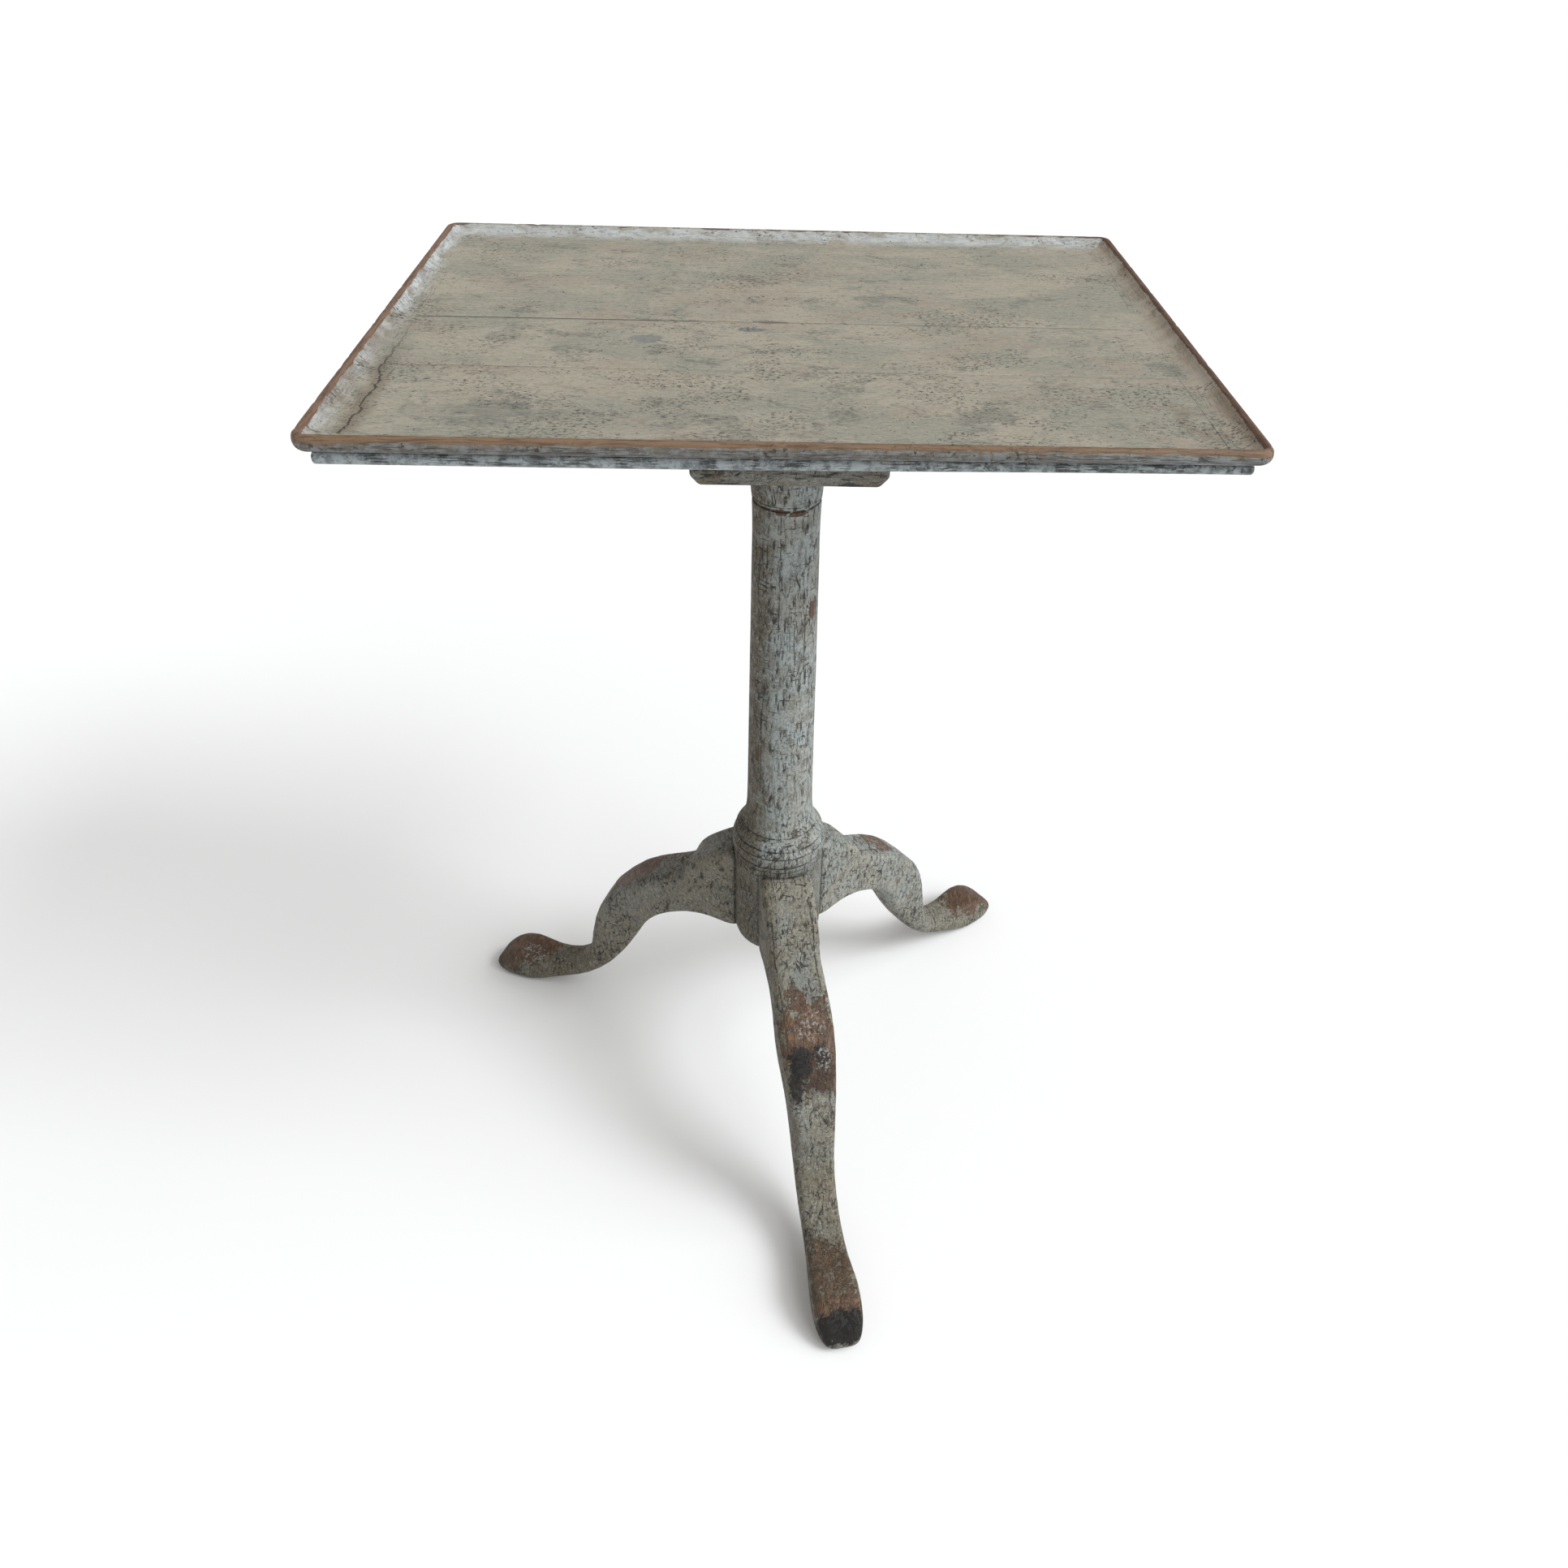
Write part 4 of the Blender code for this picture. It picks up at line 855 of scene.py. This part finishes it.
def build_rim(side, half_length, half_depth, degrees, length_steps=150):
    """A moulding with mitred ends, its lip dented and its edges uneven."""
    section = curve_through(RIM_SECTION, *RIM_CURVE, 4)
    turns = [turn / MITRE_STEPS for turn in range(MITRE_STEPS + 1)]
    places = [(turn, 0.0) for turn in turns]
    places += [(1.0, (i + 1) / length_steps) for i in range(length_steps - 1)]
    places += [(turn, 1.0) for turn in reversed(turns)]
    spin = Matrix.Rotation(math.radians(degrees), 3, "Z")
    rings, shares = [], []
    for turn, s in places:
        ring = []
        for inset, drop, lip, cove, ovolo, bead in section:
            lip, cove, ovolo, bead = (max(0.0, min(1.0, v)) for v in (lip, cove, ovolo, bead))
            along, across = rim_station(inset * MM, half_length, half_depth, turn, s)
            taper = front_taper(side, along, half_length)
            fall = min(drop, 6.0) + max(drop - 6.0, 0.0) * taper
            sample = Vector((along * 14.0, degrees, across * 14.0))
            dent = noise.noise(Vector((along * 160.0, degrees + 7.0, inset * 0.4)))
            dent = max(0.0, dent - 0.18) * 1.1 * (lip + 0.5 * bead + 0.3 * ovolo)
            sag = 0.10 * (1.0 + noise.noise(sample)) * (lip + ovolo + bead + cove)
            fall += dent * (1.0 if lip > 0 else 0.0) + sag * (1.0 if lip or cove else 0.0)
            across += (dent * 0.6 * (ovolo + bead) + sag * 0.6 * (ovolo + bead)) * MM
            ring.append(spin @ Vector((along, across, 0.0)) + Vector((0, 0, LIP_Z - fall * MM)))
            near_end = 1.0 - min(half_length - abs(along), 0.05) / 0.05
            shares.append((lip, cove, ovolo, bead, near_end))
        rings.append([point + Vector((TOP_CENTRE.x, TOP_CENTRE.y, 0.0)) for point in ring])
    mesh = mesh_of(loft(rings), f"rim_{side}_moulding", 32.0)
    for index, name in enumerate(("lip", "cove", "ovolo", "bead", "end")):
        layer = mesh.attributes.new(name, "FLOAT", "POINT")
        layer.data.foreach_set("value", [share[index] for share in shares])
    material = rim_material(f"paint_rim_{side}", side)
    link(f"rim_{side}_moulding", mesh, material, "top", f"rim_{side}")


def front_taper(side, along, half_length):
    """The moulding under the lip gets thinner towards the table's front right corner."""
    if side == "front":
        return 1.0 - 0.15 * smoothstep(along, -0.10, half_length)
    if side == "right":
        return 1.0 - 0.15 * smoothstep(-along, half_length - 0.20, half_length)
    return 1.0


def build_rims():
    build_rim("front", HALF_X, HALF_Y, 0.0)
    build_rim("right", HALF_Y, HALF_X, 90.0, 120)
    build_rim("back", HALF_X, HALF_Y, 180.0)
    build_rim("left", HALF_Y, HALF_X, 270.0, 120)


def joint_opening(x, weight):
    """Half the width of a board joint at x: open in places, bridged by paint elsewhere."""
    wave = noise.noise(Vector((x * 22.0, 3.0, weight * 5.0)))
    weight *= 1.0 - 0.85 * smoothstep(x, TOP_LOW.x + 0.19, TOP_LOW.x + 0.22)
    return 0.00002 + 0.00022 * weight * max(0.0, min(1.0, 0.5 + 1.6 * wave))


def build_board(name, open_front, open_back, stations=150):
    """A board with a slightly uneven painted face and softened joint edges."""
    low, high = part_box(name)
    left, right = TOP_LOW.x + RIM_WIDTH + EDGE_GAP, TOP_HIGH.x - RIM_WIDTH - EDGE_GAP
    front, back = low.y - JOINT_OVERLAP, high.y + JOINT_OVERLAP
    if name == "board_front":
        front = TOP_LOW.y + RIM_WIDTH + EDGE_GAP
    if name == "board_back":
        back = TOP_HIGH.y - RIM_WIDTH - EDGE_GAP
    top, bottom = high.z, low.z
    rings = []
    for i in range(stations + 1):
        x = left + (right - left) * i / stations
        y0 = front + (joint_opening(x, open_front) if open_front else 0.0)
        y1 = back - (joint_opening(x, open_back) if open_back else 0.0)
        ring = [Vector((x, y0, bottom)), Vector((x, y0, top - 0.0004))]
        ring.append(Vector((x, y0 + 0.0003, top - (0.0001 if open_front else 0.0))))
        for k in range(1, BOARD_STRIPS):
            y = y0 + (y1 - y0) * k / BOARD_STRIPS
            wave = noise.noise(Vector((x * 9.0, y * 30.0, 1.0)))
            wave += 0.4 * noise.noise(Vector((x * 40.0, y * 160.0, 2.0)))
            ring.append(Vector((x, y, top - 0.00012 * (1.4 + wave))))
        ring.append(Vector((x, y1 - 0.0003, top - (0.0001 if open_back else 0.0))))
        ring += [Vector((x, y1, top - 0.0004)), Vector((x, y1, bottom))]
        rings.append(ring)
    mesh = mesh_of(loft(rings), f"{name}_face", 50.0)
    link(f"{name}_face", mesh, FIELD, "top", name)
    mesh.materials.append(UNDERSIDE)
    for face in mesh.polygons:
        if face.normal.z < -0.5 or face.center.z < top - 0.002:
            face.material_index = 1


def build_column():
    """The turned column, slightly rubbed, and the CAD tenon above the block's underside."""
    rings = []
    for radius, height in curve_through(COLUMN_PROFILE, *COLUMN_CURVE, 3):
        ring = []
        for i in range(COLUMN_SEGMENTS):
            turn = 2 * math.pi * i / COLUMN_SEGMENTS
            x, y = math.cos(turn), math.sin(turn)
            wave = noise.noise(Vector((x * 1.2, y * 1.2, height * 0.012)))
            fine = noise.noise(Vector((x * 7.0, y * 7.0, height * 0.09)))
            rub = radius - 0.10 * (1.0 + wave) - 0.06 * (1.0 + fine) if radius > 22.0 else radius
            ring.append(Vector((AXIS.x + rub * MM * x, AXIS.y + rub * MM * y, height * MM)))
        rings.append(ring)
    mesh = mesh_of(loft(rings), "column_turned", 32.0)
    link("column_turned", mesh, column_material("paint_column"), "pedestal", "column")
    cut = bmesh.new()
    cut.from_mesh(NODES["column"].data)
    bmesh.ops.bisect_plane(cut, geom=cut.verts[:] + cut.edges[:] + cut.faces[:], dist=1e-6,
                           plane_co=(0, 0, BLOCK_UNDERSIDE), plane_no=(0, 0, 1),
                           clear_inner=True)
    bmesh.ops.holes_fill(cut, edges=[edge for edge in cut.edges if edge.is_boundary])
    link("column_tenon", mesh_of(cut, "column_tenon"), END_GRAIN, "pedestal", "column")


def worn_copy(node, voxel, passes, depth):
    """A fine copy of a CAD node with softened arrises and a slightly uneven surface.

    Faces that meet the hub are let into it a little, so that the softening stays out of sight."""
    data = NODES[node].data.copy()
    for vertex in data.vertices:
        outwards = Vector((vertex.co.x - AXIS.x, vertex.co.y - AXIS.y, 0.0))
        if HUB_RADIUS - 0.0005 < outwards.length < HUB_RADIUS + 0.0008:
            vertex.co = vertex.co - outwards.normalized() * LEG_SINK
    source = bpy.data.objects.new("source", data)
    bpy.context.scene.collection.objects.link(source)
    remesh = source.modifiers.new("remesh", "REMESH")
    remesh.mode = "VOXEL"
    remesh.voxel_size = voxel
    soften = source.modifiers.new("soften", "SMOOTH")
    soften.factor = 0.5
    soften.iterations = passes
    graph = bpy.context.evaluated_depsgraph_get()
    mesh = bpy.data.meshes.new_from_object(source.evaluated_get(graph))
    bpy.data.objects.remove(source)
    mesh.name = f"{node}_worn"
    moved = []
    for vertex in mesh.vertices:
        point = vertex.co
        broad = noise.noise(point * 45.0)
        fine = noise.noise(point * 170.0)
        inwards = depth * (0.5 + 0.5 * broad) + depth * 0.35 * (0.5 + 0.5 * fine)
        moved.append(point - vertex.normal * inwards)
    for vertex, point in zip(mesh.vertices, moved):
        vertex.co = (point.x, point.y, max(point.z, 0.0))
    mesh.shade_smooth()
    return mesh


def build_legs():
    for side in LEG_ANGLES:
        node = f"leg_{side}"
        mesh = worn_copy(node, 0.0015, 26, 0.0004)
        link(f"{node}_worn", mesh, leg_material(f"paint_{node}", side), "pedestal", node)


def cut_box(mesh, low, high):
    """The mesh with a box taken out of it."""
    builder = bmesh.new()
    place = Matrix.Translation((low + high) / 2) @ Matrix.Diagonal((*(high - low), 1.0))
    bmesh.ops.create_cube(builder, size=1.0, matrix=place)
    box = bpy.data.meshes.new("box")
    builder.to_mesh(box)
    builder.free()
    body, cutter = (bpy.data.objects.new("shape", data) for data in (mesh, box))
    for helper in (body, cutter):
        bpy.context.scene.collection.objects.link(helper)
    cut = body.modifiers.new("cut", "BOOLEAN")
    cut.object = cutter
    cut.solver = "EXACT"
    graph = bpy.context.evaluated_depsgraph_get()
    result = bpy.data.meshes.new_from_object(body.evaluated_get(graph))
    for helper in (body, cutter):
        bpy.data.objects.remove(helper)
    return result


def build_block():
    """The worn block, with the bolt's mortise cut clear again after the softening."""
    mesh = worn_copy("head_block", 0.0013, 3, 0.0002)
    low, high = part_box("catch_bolt")
    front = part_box("head_block")[0].y
    clear = Vector((BOLT_CLEARANCE, 0.0, BOLT_CLEARANCE))
    mesh = cut_box(mesh, Vector((low.x, front - 0.01, low.z)) - clear,
                   Vector((high.x, high.y + MORTISE_REACH, high.z)) + clear)
    mesh.name = "head_block_worn"
    link("head_block_worn", mesh, block_material("paint_head_block"), "pedestal", "head_block")


def finish_cad_nodes():
    """The CAD pieces that stay get smooth shading and their own finish."""
    wood_along = {
        "batten_left": (300.0, 16.0, 300.0),
        "batten_right": (300.0, 16.0, 300.0),
        "catch_pad": (16.0, 300.0, 300.0),
        "pivot_pin_left": (30.0, 500.0, 500.0),
        "pivot_pin_right": (30.0, 500.0, 500.0),
        "tenon_wedge": (500.0, 500.0, 40.0),
    }
    for name, node in NODES.items():
        if node.hide_render:
            continue
        if name in wood_along:
            material = wood_material(f"wood_{name}", wood_along[name])
        else:
            material = iron_material(f"iron_{name}")
        node.data.materials.clear()
        node.data.materials.append(material)
        node.data.shade_smooth()
        node.data.set_sharp_from_angle(angle=math.radians(35.0))


# ---- room, lights and camera --------------------------------------------------------------------
# The camera's place from the foot of the axis, its yaw, pitch and roll, and its lens shift.
CAMERA_PLACE = Vector((-0.0205, -0.8423, 1.0262))
CAMERA_TURN = (2.385, 34.024, -1.936)
CAMERA_SHIFT = (-0.0109, -0.0790)


def soft_sun(name, from_direction, spread, strength):
    data = bpy.data.lights.new(name, "SUN")
    data.angle = math.radians(spread)
    data.energy = strength
    data.color = DAYLIGHT
    lamp = bpy.data.objects.new(name, data)
    lamp.location = AXIS + Vector(from_direction)
    lamp.rotation_euler = (-Vector(from_direction)).to_track_quat("-Z", "Y").to_euler()
    bpy.context.scene.collection.objects.link(lamp)


def build_room():
    mesh = bpy.data.meshes.new("floor")
    corners = [(x * FLOOR_HALF, y * FLOOR_HALF, 0) for x, y in ((-1, -1), (1, -1), (1, 1), (-1, 1))]
    mesh.from_pydata(corners, [], [(0, 1, 2, 3)])
    floor = bpy.data.objects.new("floor", mesh)
    bpy.context.scene.collection.objects.link(floor)
    graph = Graph("floor_paint")
    tone = graph.ramp(graph.noise(graph.place, 0.6, 2.0), 0.3, 0.7)
    colour = graph.mix(tone, *FLOOR_TONES)
    mesh.materials.append(graph.finish(colour, 0.9, tone, 0.0001, strength=0.0))
    world = bpy.data.worlds.new("studio")
    world.use_nodes = True
    sky = world.node_tree.nodes["Background"]
    sky.inputs["Color"].default_value = (*SKY, 1.0)
    sky.inputs["Strength"].default_value = 0.46
    bpy.context.scene.world = world
    soft_sun("key", (1.3, -0.55, 1.25), 62.0, 2.1)
    soft_sun("key_core", (1.3, -0.45, 1.25), 22.0, 1.5)
    bpy.context.scene.view_settings.view_transform = "Standard"


def build_camera():
    """A view from above the front edge, looking down at the table."""
    yaw, pitch, roll = (math.radians(angle) for angle in CAMERA_TURN)
    ahead = Vector((math.sin(yaw) * math.cos(pitch), math.cos(yaw) * math.cos(pitch),
                    -math.sin(pitch)))
    level = Vector((math.cos(yaw), -math.sin(yaw), 0.0))
    down = ahead.cross(level)
    right = math.cos(roll) * level + math.sin(roll) * down
    down = -math.sin(roll) * level + math.cos(roll) * down
    data = bpy.data.cameras.new("camera")
    data.sensor_width = 36.0
    data.lens = 29.035
    data.shift_x, data.shift_y = CAMERA_SHIFT
    camera = bpy.data.objects.new("camera", data)
    turn = Matrix((right, -down, -ahead)).transposed().to_4x4()
    camera.matrix_world = Matrix.Translation(AXIS + CAMERA_PLACE) @ turn
    bpy.context.scene.collection.objects.link(camera)
    bpy.context.scene.camera = camera


FIELD = field_material("paint_field")
UNDERSIDE = wood_material("wood_underside", (14.0, 260.0, 260.0))
END_GRAIN = wood_material("wood_column_tenon", (420.0, 420.0, 30.0))

build_camera()
build_room()
build_rims()
build_board("board_front", 0.0, 0.35)
build_board("board_middle", 0.35, 1.0)
build_board("board_back", 1.0, 0.0)
build_column()
build_legs()
build_block()
finish_cad_nodes()

bpy.context.view_layer.update()
